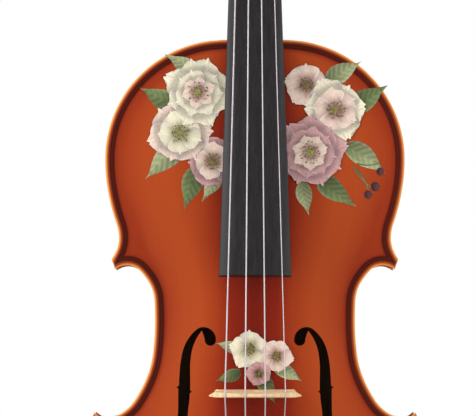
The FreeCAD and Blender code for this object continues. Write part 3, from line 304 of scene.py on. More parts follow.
def mapleFinish(name, light, dark, flame=0.5):
    wood = Finish(name, Specular_IOR_Level=0.12, Coat_Weight=0.4, Coat_Roughness=0.16, Coat_IOR=1.5)
    parts = wood.node("ShaderNodeSeparateXYZ", {"Vector": wood.place}).outputs
    sideways = wood.math("MULTIPLY", wood.math("ABSOLUTE", parts["X"]), 0.35)
    lifted = wood.math("ADD", parts["Z"], sideways)
    turned = wood.node("ShaderNodeCombineXYZ", {"X": parts["X"], "Y": parts["Y"], "Z": lifted}).outputs[0]
    figure = wood.bands(turned, "Z", 27.0, 5.0, 2.5, 1.3)
    pores = wood.streaks((900, 900, 60), 2.0)
    cloud = wood.noise(wood.place, 26.0, 3.0)
    between = [low + (high - low) * 0.45 for low, high in zip(dark, light)]
    flamed = wood.ramp(figure, [(0.0, dark), (0.45, between), (1.0, light)])
    calm = wood.blend(flame, [(low + high) / 2 for low, high in zip(dark, light)], flamed)
    shaded = wood.times(calm, wood.greys(cloud, (0.3, 0.78), (0.7, 1.08)))
    toned = wood.times(shaded, wood.greys(pores, (0.35, 0.86), (0.55, 1.0)))
    edge = wood.painted("edgeShare")
    rim = wood.greys(edge, (0.0, 1.0), (0.165, 1.0), (0.17, 0.05), (0.195, 0.05), (0.2, 0.6), (0.235, 0.6),
                     (0.24, 0.05), (0.262, 0.05), (0.27, 0.8), (0.4, 1.0))
    onPlate = wood.greys(edge, (0.0, 0.0), (0.0005, 1.0))
    wood.colour(wood.times(toned, wood.blend(onPlate, (1, 1, 1), rim)))
    wood.rough(cloud, 0.34, 0.46)
    wood.bump(figure, 0.00006, 0.2)
    return wood.material


def bareWoodFinish(name, light, dark, fine, roughness):
    wood = Finish(name, Specular_IOR_Level=0.3)
    grain = wood.streaks((fine, fine, fine * 0.05), 4.0, 0.4)
    flecks = wood.greys(wood.streaks((2600, 2600, 420), 1.0), (0.36, 0.72), (0.44, 1.0))
    wood.colour(wood.times(wood.ramp(grain, [(0.3, dark), (0.7, light)]), flecks, 0.7))
    wood.rough(grain, roughness - 0.08, roughness + 0.08)
    wood.bump(grain, 0.00004, 0.35)
    return wood.material


def ebonyFinish(name, roughness):
    wood = Finish(name, Specular_IOR_Level=0.22)
    grain = wood.streaks((700, 700, 14), 4.0)
    pores = wood.streaks((3000, 3000, 160), 1.0)
    body = wood.ramp(grain, [(0.3, (0.007, 0.006, 0.0068)), (0.7, (0.019, 0.016, 0.018))])
    wood.colour(wood.times(body, wood.greys(pores, (0.3, 0.6), (0.42, 1.0)), 0.6))
    wood.rough(grain, roughness - 0.07, roughness + 0.09)
    wood.bump(pores, 0.00003, 0.3)
    return wood.material


def metalFinish(name, tint, roughness, brushed=0.0):
    metal = Finish(name, Metallic=1.0)
    wear = metal.streaks((260, 260, 40), 4.0)
    metal.colour(metal.ramp(wear, [(0.3, [c * 0.86 for c in tint]), (0.7, tint)]))
    metal.rough(wear, roughness - 0.06, roughness + 0.08)
    if brushed:
        metal.bump(metal.bands(metal.place, "Z", 900.0, 0.4), 0.00002, brushed)
    return metal.material


def mottledFinish(name, scale, stops, **numbers):
    stuff = Finish(name, **numbers)
    stuff.colour(stuff.ramp(stuff.noise(stuff.place, scale, 2.0), stops))
    return stuff.material


finish = {
    "spruce": spruceFinish(),
    "maple": mapleFinish("mapleVarnish", (0.50, 0.115, 0.028), (0.20, 0.028, 0.008)),
    "neckMaple": mapleFinish("neckVarnish", (0.47, 0.12, 0.032), (0.24, 0.04, 0.011), 0.4),
    "bridgeMaple": bareWoodFinish("bridgeMaple", (0.86, 0.64, 0.38), (0.72, 0.47, 0.25), 420, 0.5),
    "bareSpruce": bareWoodFinish("bareSpruce", (0.70, 0.50, 0.28), (0.52, 0.33, 0.16), 520, 0.7),
    "ebony": ebonyFinish("ebonyPolish", 0.36),
    "pegEbony": ebonyFinish("pegEbony", 0.28),
    # painted shade: dark wood for the plates' undersides and the sound holes' walls, standing for the shade
    # inside the closed body
    "inside": bareWoodFinish("insideSpruceShaded", (0.17, 0.10, 0.05), (0.10, 0.06, 0.03), 520, 0.8),
    "string": metalFinish("stringWinding", (0.47, 0.425, 0.435), 0.36, 0.4),
    "nickel": metalFinish("tunerNickel", (0.78, 0.77, 0.75), 0.2),
    "cord": mottledFinish("tailCord", 900.0, [(0.3, (0.012, 0.011, 0.011)), (0.7, (0.03, 0.027, 0.026))],
                          Roughness=0.45, Specular_IOR_Level=0.4),
}
bySlot = {"spruce_front": "spruce", "varnished_maple": "neckMaple", "ebony": "ebony", "nylon": "cord",
          "bare_maple": "bridgeMaple", "bare_spruce": "bareSpruce", "string_metal": "string",
          "tuner_metal": "nickel"}
for subpart in frame["record"]["subparts"]:
    mesh = nodes[subpart["node"]].data
    mesh.materials.clear()
    mesh.materials.append(finish[bySlot[subpart["material_slot"]]])
    mesh.polygons.foreach_set("material_index", [0] * len(mesh.polygons))
print("finishes ready:", len(finish))

bodyOf = {node: body for body, members in frame["record"]["behaviour"]["bodies"].items() for node in members}
slotOf = {subpart["node"]: subpart["material_slot"] for subpart in frame["record"]["subparts"]}


def dress(piece, node):  # the piece rides with the node's body and stands for it
    if not piece.data.materials:
        piece.data.materials.append(finish[bySlot[slotOf[node]]])
    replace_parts(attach(piece, bodyOf[node]), node)
    return piece


# The plates' outline, drawn with compasses: arcs that meet tangent through stations along half of the edge
def mirrored(points):
    return [Vector((-p.x, p.y)) for p in points]


def heading(degrees):
    return Vector((math.cos(math.radians(degrees)), math.sin(math.radians(degrees))))


def arcPoints(start, direction, end, spacing):
    chord = end - start
    side = chord - direction * chord.dot(direction)
    if side.length < chord.length * 1e-6:
        count = max(1, math.ceil(chord.length / spacing))
        return [start + chord * i / count for i in range(count)]
    side.normalize()
    radius = chord.dot(chord) / (2 * chord.dot(side))
    centre = start + side * radius
    first = math.atan2(start.y - centre.y, start.x - centre.x)
    last = math.atan2(end.y - centre.y, end.x - centre.x)
    leftward = direction.x * side.y - direction.y * side.x > 0
    sweep = (last - first) % (2 * math.pi) if leftward else -((first - last) % (2 * math.pi))
    count = max(1, math.ceil(abs(sweep) * radius / spacing))
    angles = [first + sweep * i / count for i in range(count)]
    return [centre + Vector((math.cos(a), math.sin(a))) * radius for a in angles]


def twoArcs(start, first, end, second, spacing):
    gap = end - start
    both = first + second
    spread = 2 * (1 - first.dot(second))
    if spread < 1e-9:
        reach = gap.dot(gap) / (4 * gap.dot(second))
    else:
        reach = (math.sqrt(gap.dot(both) ** 2 + spread * gap.dot(gap)) - gap.dot(both)) / spread
    middle = (start + end + (first - second) * reach) * 0.5
    backwards = arcPoints(end, -second, middle, spacing)
    return arcPoints(start, first, middle, spacing) + [middle] + backwards[:0:-1]


def curveThrough(stations, spacing):
    points = []
    for (here, turn), (there, nextTurn) in zip(stations, stations[1:]):
        points += twoArcs(Vector(here), heading(turn), Vector(there), heading(nextTurn), spacing)
    return points + [Vector(stations[-1][0])]


upperHalf, waistHalf, lowerHalf = [sizes[name] / 2 for name in ("upperBout", "waist", "lowerBout")]
bouts = [  # from the top to the bottom: half of the width, share of the length, the edge's heading
    [(0.0, 1.0, 0), (0.248 * upperHalf, 0.9983, -3.4), (upperHalf, 0.8104, -90),
     (0.925 * upperHalf, 0.709, -109), (0.908 * upperHalf, 0.6854, -90), (0.957 * upperHalf, 0.6528, -54)],
    [(0.933 * upperHalf, 0.6365, 141), (0.852 * upperHalf, 0.6433, 180), (1.0625 * waistHalf, 0.6166, 239),
     (waistHalf, 0.5562, 270), (1.105 * waistHalf, 0.4581, 295), (0.724 * lowerHalf, 0.4096, 330),
     (0.808 * lowerHalf, 0.4034, 360), (0.865 * lowerHalf, 0.4118, 408)],
    [(0.888 * lowerHalf, 0.3952, -126), (0.849 * lowerHalf, 0.3624, -90), (0.8865 * lowerHalf, 0.3247, -57.6),
     (lowerHalf, 0.2107, -90), (0.497 * lowerHalf, 0.0191, -165), (0.0, 0.0, -180)],
]


def plateOutline(spacing):
    half = []
    for bout in bouts:
        stations = [((across, sizes["bodyLength"] * share), turn) for across, share, turn in bout]
        half += curveThrough(stations, spacing)
    return half + mirrored(half[-2:0:-1])


def treeOf(points):
    tree = kdtree.KDTree(len(points))
    for i, p in enumerate(points):
        tree.insert((p.x, p.y, 0), i)
    tree.balance()
    return tree


def distanceTo(tree, p):
    return tree.find((p[0], p[1], 0))[2]


def inside(p, loop):
    odd = False
    for a, b in zip(loop, loop[1:] + loop[:1]):
        if (a.y > p[1]) != (b.y > p[1]) and p[0] < (b.x - a.x) * (p[1] - a.y) / (b.y - a.y) + a.x:
            odd = not odd
    return odd


def clamped(value):
    return max(0.0, min(1.0, value))


def smoothStep(low, high, value):
    t = clamped((value - low) / (high - low))
    return t * t * (3 - 2 * t)


def cubic(t, here, slopeHere, there, slopeThere):  # from here to there, keeping both slopes
    return (here * (2 * t ** 3 - 3 * t ** 2 + 1) + slopeHere * (t ** 3 - 2 * t ** 2 + t)
            + there * (3 * t ** 2 - 2 * t ** 3) + slopeThere * (t ** 3 - t ** 2))


edgeTree = treeOf(plateOutline(0.25))
archFoot = [  # half of the arch's width, with its margin, and the share of the length
    (0.42 * upperHalf, 1.03), (0.63 * upperHalf, 0.955), (0.86 * upperHalf, 0.899), (upperHalf, 0.8104),
    (0.85 * upperHalf, 0.69), (1.07 * waistHalf, 0.625), (waistHalf, 0.5562), (1.14 * waistHalf, 0.458),
    (0.70 * lowerHalf, 0.40), (0.90 * lowerHalf, 0.31), (lowerHalf, 0.2107), (0.86 * lowerHalf, 0.098),
    (0.62 * lowerHalf, 0.034), (0.36 * lowerHalf, -0.03)]
footStations = sorted((sizes["bodyLength"] * share, half - sizes["archMargin"]) for half, share in archFoot)


def footAt(along):  # half width of the arch, smooth through its stations
    last = len(footStations) - 1
    i = max(0, min(last - 1, sum(1 for station in footStations[1:-1] if station[0] <= along)))
    before, here, there, after = [footStations[max(0, min(last, i + k))] for k in (-1, 0, 1, 2)]
    span = there[0] - here[0]
    slopeHere = span * (there[1] - before[1]) / (there[0] - before[0])
    slopeThere = span * (after[1] - here[1]) / (after[0] - here[0])
    return cubic(clamped((along - here[0]) / span), here[1], slopeHere, there[1], slopeThere)


# Plates: carved outside and inside by the same formula
plate = {"base": 3.2, "crest": 15.5, "backCrest": 15.0, "fullness": 2.8, "scoop": 0.35, "beyond": 1.6,
         "round": 1.7, "lip": 0.22, "lipAt": 2.0, "lipWide": 0.9, "channel": 0.75, "channelFrom": 2.6,
         "channelTo": 6.0, "blend": 0.5, "thick": 3.0, "hollowBase": -0.8, "glued": 5.0, "varnished": 3.2,
         "wallFrom": 0.3, "sharpOver": 40, "edgeStep": 1.1, "fineStep": 0.275, "grid": 3.0, "gridHalf": 105.0,
         "gridFoot": 2.0, "gridTall": 360.0, "holeRoom": (0.7, 1.6), "paintedWidth": 25.0,
         "rings": (0.13, 0.38, 0.75, 1.2, 1.7, 2.3, 3.0, 3.8, 4.6, 5.4, 6.3, 7.4, 8.8, 10.5)}
saddleSeat = {"half": 18.0, "deep": 7.0, "room": 0.2}
backTab = {"half": 11.0, "reach": 13.0, "steps": 30, "overlap": 2, "shownAt": 2.4}


def archHeight(across, along, crest, base, footLess=0.0):
    step = min(abs(across) / (footAt(along) - footLess), plate["beyond"])
    dome = (1 - step * step) * (1 - plate["scoop"] * min(step * step, 1.0))
    return base + (crest - base) * dome * (1 - abs(2 * along / sizes["bodyLength"] - 1) ** plate["fullness"])


def rounded(height, edge):  # the rim's nose, round from half of its thickness
    if edge >= plate["round"]:
        return height
    middle = sizes["plateEdge"] / 2
    return middle + (height - middle) * math.sqrt(max(0.0, 1 - (1 - edge / plate["round"]) ** 2))


def topHeight(across, along, edge, crest):  # a raised lip and a channel along the rim, then the arch
    arch = archHeight(across, along, crest, plate["base"])
    rim = sizes["plateEdge"] + plate["lip"] * math.exp(-((edge - plate["lipAt"]) / plate["lipWide"]) ** 2)
    rim -= plate["channel"] * smoothStep(plate["channelFrom"], plate["channelTo"], edge)
    k = plate["blend"]
    return rounded(max(arch, rim) + max(k - abs(arch - rim), 0.0) ** 2 / (4 * k), edge)


def underHeight(across, along, edge, crest):
    hollow = archHeight(across, along, crest - plate["thick"], plate["hollowBase"], plate["thick"] / 2)
    return rounded(max(0.0, hollow) if edge > plate["glued"] else 0.0, edge)


def edgeDistance(p):
    return distanceTo(edgeTree, p)


def onBelly(p, lift):
    return hung(p[0], p[1], topHeight(p[0], p[1], edgeDistance(p), plate["crest"]) + lift)


# Sound holes: shares of the length with the edge's heading, from the lower eye to the upper one and back.
# Near its middle each stem has a nick cut into the wood. The upper eye is a little larger than the solid's.
hole = {"middle": (40.3, 159.5), "length": 76.0, "spacing": 0.6, "upperEye": 3.15, "upperAt": (-0.202, 0.362),
        "lowerEye": 4.4, "lowerAt": (0.19, -0.41), "eyeSteps": 16}
outerStem = [((0.085, -0.455), 118), ((0.038, -0.2), 94), ((0.034, 0.005), 91), ((0.049, 0.016), None),
             ((0.029, 0.028), 91), ((0.004, 0.27), 103), ((-0.06, 0.40), 130), ((-0.15, 0.458), 180)]
innerStem = [((-0.14, 0.432), -50), ((-0.064, 0.27), -80), ((-0.054, -0.006), -89), ((-0.068, -0.017), None),
             ((-0.051, -0.028), -89), ((-0.036, -0.19), -86), ((0.02, -0.37), -65), ((0.13, -0.503), 0)]


def soundHole():
    def place(share):
        return Vector(hole["middle"]) + Vector(share) * hole["length"]

    def stem(stations):
        points = []
        for (here, turn), (there, nextTurn) in zip(stations, stations[1:]):
            if turn is None or nextTurn is None:
                points.append(place(here))
            else:
                points += curveThrough([(place(here), turn), (place(there), nextTurn)], hole["spacing"])[:-1]
        return points + [place(stations[-1][0])]

    def eye(centre, radius, first, last):
        count = hole["eyeSteps"]
        return [centre + heading(first + (last - first) * i / count) * radius for i in range(count + 1)]

    upper, lower = place(hole["upperAt"]), place(hole["lowerAt"])
    upperSide = upper - Vector((hole["upperEye"], 0))
    lowerSide = lower + Vector((hole["lowerEye"], 0))
    loop = stem(outerStem)
    loop += curveThrough([(loop[-1], 180), (upperSide, 270)], hole["spacing"])[1:-1]
    loop += eye(upper, hole["upperEye"], 180, 370) + stem(innerStem)
    loop += curveThrough([(loop[-1], 0), (lowerSide, 90)], hole["spacing"])[1:-1]
    return loop + eye(lower, hole["lowerEye"], 0, 190)


def plateStations(outer, loops, fineEdge, tree):  # outline and holes, rings along the edge, then a grid
    holeTree = treeOf([p for loop in loops for p in loop]) if loops else None

    def clear(p, margin):
        return inside(p, outer) and (holeTree is None or distanceTo(holeTree, p) > margin)

    stations, fixed = [], []
    for loop in [outer] + loops:
        start = len(stations)
        stations += [(p.x, p.y) for p in loop]
        fixed += [(start + i, start + (i + 1) % len(loop)) for i in range(len(loop))]
    dense = fineEdge[::4]
    threes = list(zip(dense[-1:] + dense[:-1], dense, dense[1:] + dense[:1]))
    for reach in plate["rings"]:
        for before, here, after in threes[::max(1, int(reach / 3.0))]:
            along = (after - before).normalized()
            p = here + Vector((along.y, -along.x)) * reach
            if abs(distanceTo(tree, p) - reach) < 0.04 + reach * 0.01 and clear(p, plate["holeRoom"][0]):
                stations.append((p.x, p.y))
    grid = plate["grid"]
    for column in range(int(2 * plate["gridHalf"] / grid)):
        for row in range(int(plate["gridTall"] / grid)):
            upward = grid * row - plate["gridFoot"]
            p = (grid * column - plate["gridHalf"] + (grid / 2 if int(upward / grid) % 2 else 0), upward)
            if distanceTo(tree, p) > plate["rings"][-1] + 1 and clear(p, plate["holeRoom"][1]):
                stations.append(p)
    return stations, fixed


def carvePlate(name, crest, varnish, outer, fineEdge, loops, flip=False):
    tree = treeOf(fineEdge)
    stations, fixed = plateStations(outer, loops, fineEdge, tree)
    flat = delaunay_2d_cdt([Vector(p) for p in stations], fixed, [], 1, 1e-5)
    spots = flat[0]
    edges = [distanceTo(tree, p) for p in spots]
    level = -sizes["ribHeight"] if flip else 0.0
    sign = -1 if flip else 1
    points = [hung(p.x, p.y, level + sign * height(p.x, p.y, d, crest))
              for height in (topHeight, underHeight) for p, d in zip(spots, edges)]
    kept = []
    for face in flat[2]:
        a, b, c = [spots[i] for i in face]
        middle = (a + b + c) / 3
        if inside(middle, outer) and not any(inside(middle, loop) for loop in loops):
            leftward = (b.x - a.x) * (c.y - a.y) - (b.y - a.y) * (c.x - a.x) > 0
            kept.append(tuple(face) if leftward else tuple(face[::-1]))
    total = len(spots)
    faces = kept + [tuple(i + total for i in face[::-1]) for face in kept]
    bare = [0] * len(kept) + [int(max(edges[i] for i in face) >= plate["varnished"]) for face in kept]
    sides = dict.fromkeys((a, b) for face in kept for a, b in zip(face, face[1:] + face[:1]))
    for a, b in sides:
        if (b, a) not in sides and max(edges[a], edges[b]) > plate["wallFrom"]:
            faces.append((b, a, a + total, b + total))
            bare.append(1)
    if flip:
        faces = [face[::-1] for face in faces]
    piece = makePiece(name, points, faces, [varnish, finish["inside"]], bare, plate["sharpOver"])

    def edgeShare(p):  # the button's tab lies beyond the outline and shows like the rim
        onTab = flip and p.y > sizes["bodyLength"] - backTab["overlap"] and not inside(p, bodyLoop)
        onTab = onTab and abs(p.x) < backTab["half"] + 1
        return min(1.0, (backTab["shownAt"] if onTab else edgeDistance(p)) / plate["paintedWidth"]) + 0.001

    addPoints(piece, "edgeShare", [edgeShare(p) for p in spots] * 2)
    addPoints(piece, "archShare", [min(1.0, abs(p.x) / footAt(p.y)) for p in spots] * 2)
    reshape(piece.data, 1e-7, outwards=False)
    return piece


def notched(loop):  # the saddle's seat, sawn out of the bottom edge
    half, deep = saddleSeat["half"], saddleSeat["deep"]
    kept = [p for p in loop if abs(p.x) > half + saddleSeat["room"] or p.y > sizes["bodyLength"] / 2]
    right = max(i for i, p in enumerate(kept) if p.x > 0) + 1
    edgeY = min(p.y for p in kept)
    cut = [(half, edgeY), (half, deep), (half - 0.01, deep), (0, deep), (-half, deep), (-half, edgeY)]
    return kept[:right] + [Vector(p) for p in cut] + kept[right:]


def withButton(loop):  # the round tab of the back under the neck's heel
    half, steps = backTab["half"], backTab["steps"]
    middle = sizes["bodyLength"] + backTab["reach"] - half
    kept = [p for p in loop if abs(p.x) >= half or p.y < sizes["bodyLength"] / 2]
    start = next(i for i, p in enumerate(kept) if p.x > 0)
    arc = [Vector((half * math.cos(a), middle + half * math.sin(a)))
           for a in [math.pi * i / steps for i in range(steps, -1, -1)]]
    return kept[:start] + arc + kept[start:]


bodyLoop = plateOutline(plate["edgeStep"])
fineLoop = plateOutline(plate["fineStep"])
trebleHole = soundHole()
front = carvePlate("frontPlate", plate["crest"], finish["spruce"], notched(bodyLoop), fineLoop,
                   [trebleHole, mirrored(trebleHole)])
dress(front, "belly")
rear = carvePlate("backPlate", plate["backCrest"], finish["maple"], withButton(bodyLoop),
                  withButton(fineLoop), [], flip=True)
dress(rear, "back")
print("plates carved:", len(front.data.polygons), len(rear.data.polygons))


# Pieces that keep the solid's form: merged copies with eased edges and smooth round faces
def easedCopy(node, name, ease, sharpOver):
    mesh = nodes[node].data.copy()
    mesh.name = name
    reshape(mesh, 2e-6, 0.6)
    shadeSmooth(mesh, sharpOver)
    piece = stand(name, mesh)
    if ease:
        easeEdges(piece, ease, sharpOver)
    return piece


easedParts = {
    "fingerboard": ("boardBlank", 0.5), "nut": ("nutBlock", 0.3), "saddle": ("saddleBlock", 0.5),
    "tailpiece": ("tailpieceBlank", 0.45),
    **{"tuner_lever_" + letter: ("lever" + letter.upper(), 0.25) for letter in "gdae"},
    "rib_upper_treble": ("ribUpperTreble", 0), "rib_upper_bass": ("ribUpperBass", 0),
    "rib_waist_treble": ("ribWaistTreble", 0), "rib_waist_bass": ("ribWaistBass", 0),
    "rib_lower_treble": ("ribLowerTreble", 0), "rib_lower_bass": ("ribLowerBass", 0),
    **{"string_" + letter: ("string" + letter.upper(), 0) for letter in "gdae"},
    "tail_gut": ("tailCord", 0),
}
crease = {"cord": 75, "block": 32}
for node, (name, ease) in easedParts.items():
    slim = node.startswith("string") or node == "tail_gut"
    dress(easedCopy(node, name, ease, crease["cord" if slim else "block"]), node)
print("eased copies:", len(easedParts))


# Turned pieces: a profile of radius and height spun about its axis, with fine ridges where one is knurled
def spun(profile, segments, ridges=0, depth=0.0, knurled=()):
    points, rings, faces = [], [], []
    for i, (radius, height) in enumerate(profile):
        count = segments if radius > 1e-6 else 1
        rings.append(range(len(points), len(points) + count))
        for k in range(count):
            turn = 2 * math.pi * k / segments
            reach = radius - depth * (0.5 - 0.5 * math.cos(ridges * turn)) * (i in knurled)
            points.append((reach * math.cos(turn), reach * math.sin(turn), height))
    for low, high in zip(rings, rings[1:]):
        for k in range(segments):
            n = (k + 1) % segments
            if len(low) == 1:
                faces.append((low[0], high[n], high[k]))
            elif len(high) == 1:
                faces.append((low[k], low[n], high[0]))
            else:
                faces.append((low[k], low[n], high[n], high[k]))
    return points, faces


def smoothProfile(stations, steps):  # round through its stations; a station given twice keeps a crisp corner
    line = []
    for i in range(len(stations) - 1):
        a, b = Vector(stations[i]), Vector(stations[i + 1])
        if (b - a).length < 1e-9:
            continue
        before = Vector(stations[i - 1]) if i else a
        after = Vector(stations[i + 2]) if i + 2 < len(stations) else b
        away = (b - before) * 0.5 if (a - before).length > 1e-9 else b - a
        home = (after - a) * 0.5 if (after - b).length > 1e-9 else b - a
        for s in range(steps):
            p = cubic(s / steps, a, away, b, home)
            line.append((max(0.0, p.x), p.y))
    return line + [tuple(stations[-1])]


def joined(*shells):  # several shells' points and faces in one list each
    points, faces = [], []
    for morePoints, moreFaces in shells:
        faces += [tuple(i + len(points) for i in face) for face in moreFaces]
        points += morePoints
    return points, faces


pegs = {
    "g": {"half": 11.471, "share": 0.20, "deep": 0.283, "head": -1},
    "d": {"half": 9.413, "share": 0.60, "deep": 0.43, "head": -1},
    "a": {"half": 8.436, "share": 0.79, "deep": 0.5, "head": 1},
    "e": {"half": 10.391, "share": 0.41, "deep": 0.385, "head": 1},
}
pegForm = {
    "boxAlong": 136.0, "boxLong": 68.0, "boxDeep": 30.0, "thin": 3.3, "thick": 4.0, "gap": 8.0, "past": 1.0,
    "throat": 6.0, "head": 10.5, "headRings": 18, "headSpokes": 72, "headThick": 1.75, "headHollow": 0.75,
    "collar": [(4.7, 0.1), (5.0, 0.6), (4.6, 1.0), (4.6, 1.1), (5.15, 1.6), (5.15, 2.2), (4.5, 2.8),
               (3.9, 3.1), (3.3, 4.6), (3.0, 6.4), (2.6, 8.4), (1.2, 9.6), (0.0, 9.9)],
    "pip": [(0.0, -1.6), (1.1, -1.5), (1.0, -0.6), (1.45, -0.1), (1.3, 0.15), (0.0, 0.2)],
}


def pegHead(middle):  # the flat head, hollowed on both sides
    rings, spokes = pegForm["headRings"], pegForm["headSpokes"]
    points, faces = [], []
    for side in (1, -1):
        start = len(points)
        for i in range(rings + 1):
            share = i / rings
            hollow = smoothStep(0.25, 0.85, share) * (1 - smoothStep(0.8, 0.93, share))
            thick = pegForm["headThick"] - pegForm["headHollow"] * hollow
            thick *= math.sqrt(max(0.0, 1 - max(0.0, (share - 0.9) / 0.1) ** 2))
            for k in range(spokes):
                turn = 2 * math.pi * k / spokes
                reach = pegForm["head"] * (1 - 0.055 * (1 + math.cos(turn)) * math.cos(2 * turn) ** 2)
                reach *= (1 - 0.05 * max(0.0, math.cos(turn + math.pi)) ** 8) * share
                points.append((math.sin(turn) * reach, side * thick, middle + math.cos(turn) * reach))
        for i in range(rings):
            for k in range(spokes):
                here, n = start + i * spokes, (k + 1) % spokes
                face = (here + k, here + spokes + k, here + spokes + n, here + n)
                faces.append(face if side < 0 else face[::-1])
    return points, faces


def pegPiece(letter, peg):
    thin, thick = pegForm["thin"], pegForm["thick"]
    tail = -peg["half"] - pegForm["past"]
    end = peg["half"] + pegForm["gap"]
    middle = end + pegForm["throat"] + pegForm["head"]
    shaft = [(0.0, tail), (thin - 0.5, tail), (thin, tail + 0.5), (thin, tail + 0.5),
             (thick, end - 0.05), (thick, end), (thick, end)]
    shaft += [(radius, end + rise) for radius, rise in pegForm["collar"]]
    pip = [(radius, middle + pegForm["head"] + rise) for radius, rise in pegForm["pip"]]
    turned = [spun(smoothProfile(shaft, 4), 48), spun(smoothProfile(pip, 4), 24)]
    points, faces = joined(*turned, pegHead(middle))
    along = pegForm["boxAlong"] + pegForm["boxLong"] * peg["share"]
    out = -pegForm["boxDeep"] * peg["deep"]
    placed = [onNeck(z * peg["head"], along + y, out - x * peg["head"]) for x, y, z in points]
    piece = makePiece("peg" + letter.upper(), placed, faces, [finish["pegEbony"]], sharpOver=40)
    reshape(piece.data, 2e-6)
    return piece


for letter, peg in pegs.items():
    dress(pegPiece(letter, peg), "peg_" + letter)
print("pegs turned:", len(pegs))

tuners = {
    "across": {"g": -14.28, "d": -4.76, "a": 4.76, "e": 14.28}, "behind": 24.0, "ridges": 24, "depth": 0.28,
    "knurled": (6, 7),  # the profile's stations that carry the ridges
    "profile": [(0.0, -6.4), (0.9, -6.4), (1.2, -6.1), (1.2, 3.2), (2.5, 3.2), (3.0, 3.45), (3.2, 3.9),
                (3.2, 7.1), (3.0, 7.6), (2.3, 7.95), (2.1, 7.7), (0.9, 7.7), (0.7, 8.1), (0.0, 8.2)],
}
for letter, across in tuners["across"].items():
    crest = math.sqrt(sizes["tailRadius"] ** 2 - across ** 2) - sizes["tailRadius"]
    spin, faces = spun(tuners["profile"], 96, tuners["ridges"], tuners["depth"], tuners["knurled"])
    placed = [onTail(across + x, -tuners["behind"] + y, crest + z) for x, y, z in spin]
    screw = makePiece("knob" + letter.upper(), placed, faces, [finish["nickel"]], sharpOver=35)
    dress(screw, "tuner_screw_" + letter)

endButton = {
    "inset": 11.0,
    "profile": [(0.0, 0.0), (1.3, 0.05), (1.3, 0.4), (2.0, 0.4), (2.0, 0.1), (3.4, 0.15), (5.6, 0.6),
                (6.8, 1.6), (7.0, 2.6), (6.9, 4.2), (6.3, 5.3), (5.6, 5.9), (4.0, 6.0), (4.0, 6.0),
                (4.0, 11.0), (4.0, 26.0), (0.0, 26.0)],
}
spin, faces = spun(endButton["profile"], 72)
placed = [hung(x, sizes["overhang"] - endButton["inset"] + z, y - sizes["ribHeight"] / 2) for x, y, z in spin]
button = makePiece("endButton", placed, [face[::-1] for face in faces], [finish["pegEbony"]], sharpOver=30)
dress(button, "end_button")
print("knobs and end button turned")

# Bridge: a drawing with curved edges and a heart, cut out, then thinned from its feet to its top
bridgeForm = {  # across and up as shares of the width and the height, each with the edge's heading
    "wide": 51.0, "tall": 33.0, "topHalf": 21.5, "topRadius": 42.0, "topSteps": 40, "foot": 4.6, "top": 1.6,
    "taper": 2.6, "sink": 2.6, "ease": 0.28, "spacing": 0.5, "heartSpacing": 0.4,
    "side": [((0.5, 0.74), -84), ((0.488, 0.63), -120), ((0.42, 0.575), 190), ((0.355, 0.60), 165),
             ((0.305, 0.545), -92), ((0.35, 0.42), -65), ((0.372, 0.25), -86), ((0.415, 0.085), -40)],
    "toe": (0.44, 0.055), "heel": (0.17, 0.045),
    "crotch": [((0.17, 0.06), 97), ((0.10, 0.165), 165), ((0.0, 0.185), 180)],
    "heart": [((0.0, 0.66), 60), ((0.055, 0.735), 0), ((0.105, 0.67), -95), ((0.05, 0.57), -140),
              ((0.0, 0.50), -120)],
}


def bridgeLoops():
    tall, half, radius = bridgeForm["tall"], bridgeForm["topHalf"], bridgeForm["topRadius"]

    def place(share):
        return Vector((share[0] * bridgeForm["wide"], share[1] * tall))

    def line(name, spacing, start=()):
        return curveThrough([*start, *((place(share), turn) for share, turn in bridgeForm[name])], spacing)

    def topAt(across):
        return Vector((across, tall - radius + math.sqrt(radius ** 2 - across ** 2)))

    toe, heel = place(bridgeForm["toe"]), place(bridgeForm["heel"])
    right = line("side", bridgeForm["spacing"], [(topAt(half), -62)])
    right += [toe, Vector((toe.x, -bridgeForm["sink"])), Vector((heel.x, -bridgeForm["sink"])), heel]
    right += line("crotch", bridgeForm["spacing"])[:-1]
    steps = bridgeForm["topSteps"]
    arc = [topAt(-half + 2 * half * i / steps) for i in range(steps)]
    heart = line("heart", bridgeForm["heartSpacing"])
    return arc + right + mirrored(right[::-1])[:-1], heart[:-1] + mirrored(heart[::-1])[:-1]


def thinned(spot):  # from the flat drawing to its place over the belly
    across, up, side = spot
    taper = clamped(up / bridgeForm["tall"]) ** bridgeForm["taper"]
    thick = bridgeForm["foot"] + (bridgeForm["top"] - bridgeForm["foot"]) * taper
    thick *= 1 - 0.8 * smoothStep(0.98, 1.22, abs(across) / bridgeForm["topHalf"])
    setBack = 0.25 * (bridgeForm["foot"] - thick)
    along = sizes["bridgeAlong"] - bridgeForm["foot"] + setBack + (0.0 if side < 0 else thick)
    if up < 0.03 * bridgeForm["tall"]:
        return hung(across, along, topHeight(across, along, 30.0, plate["crest"]) - 0.15)
    return hung(across, along, up + plate["crest"])


def bridgePiece():
    drawing = bpy.data.curves.new("bridgeBlank", "CURVE")
    drawing.dimensions = "2D"
    drawing.fill_mode = "BOTH"
    drawing.extrude = 0.5
    for loop in bridgeLoops():
        spline = drawing.splines.new("POLY")
        spline.points.add(len(loop) - 1)
        spline.use_cyclic_u = True
        for point, p in zip(spline.points, loop):
            point.co = (p.x, p.y, 0, 1)
    blank = stand("bridgeBlank", drawing)
    cut = bpy.data.meshes.new_from_object(blank.evaluated_get(bpy.context.evaluated_depsgraph_get()))
    bpy.data.objects.remove(blank)
    reshape(cut, 1e-3, 0.5, thinned)
    cut.materials.append(finish["bridgeMaple"])
    shadeSmooth(cut, 30)
    piece = stand("bridgeCut", cut)
    easeEdges(piece, bridgeForm["ease"], 40)
    return piece


dress(bridgePiece(), "bridge")
print("bridge cut")

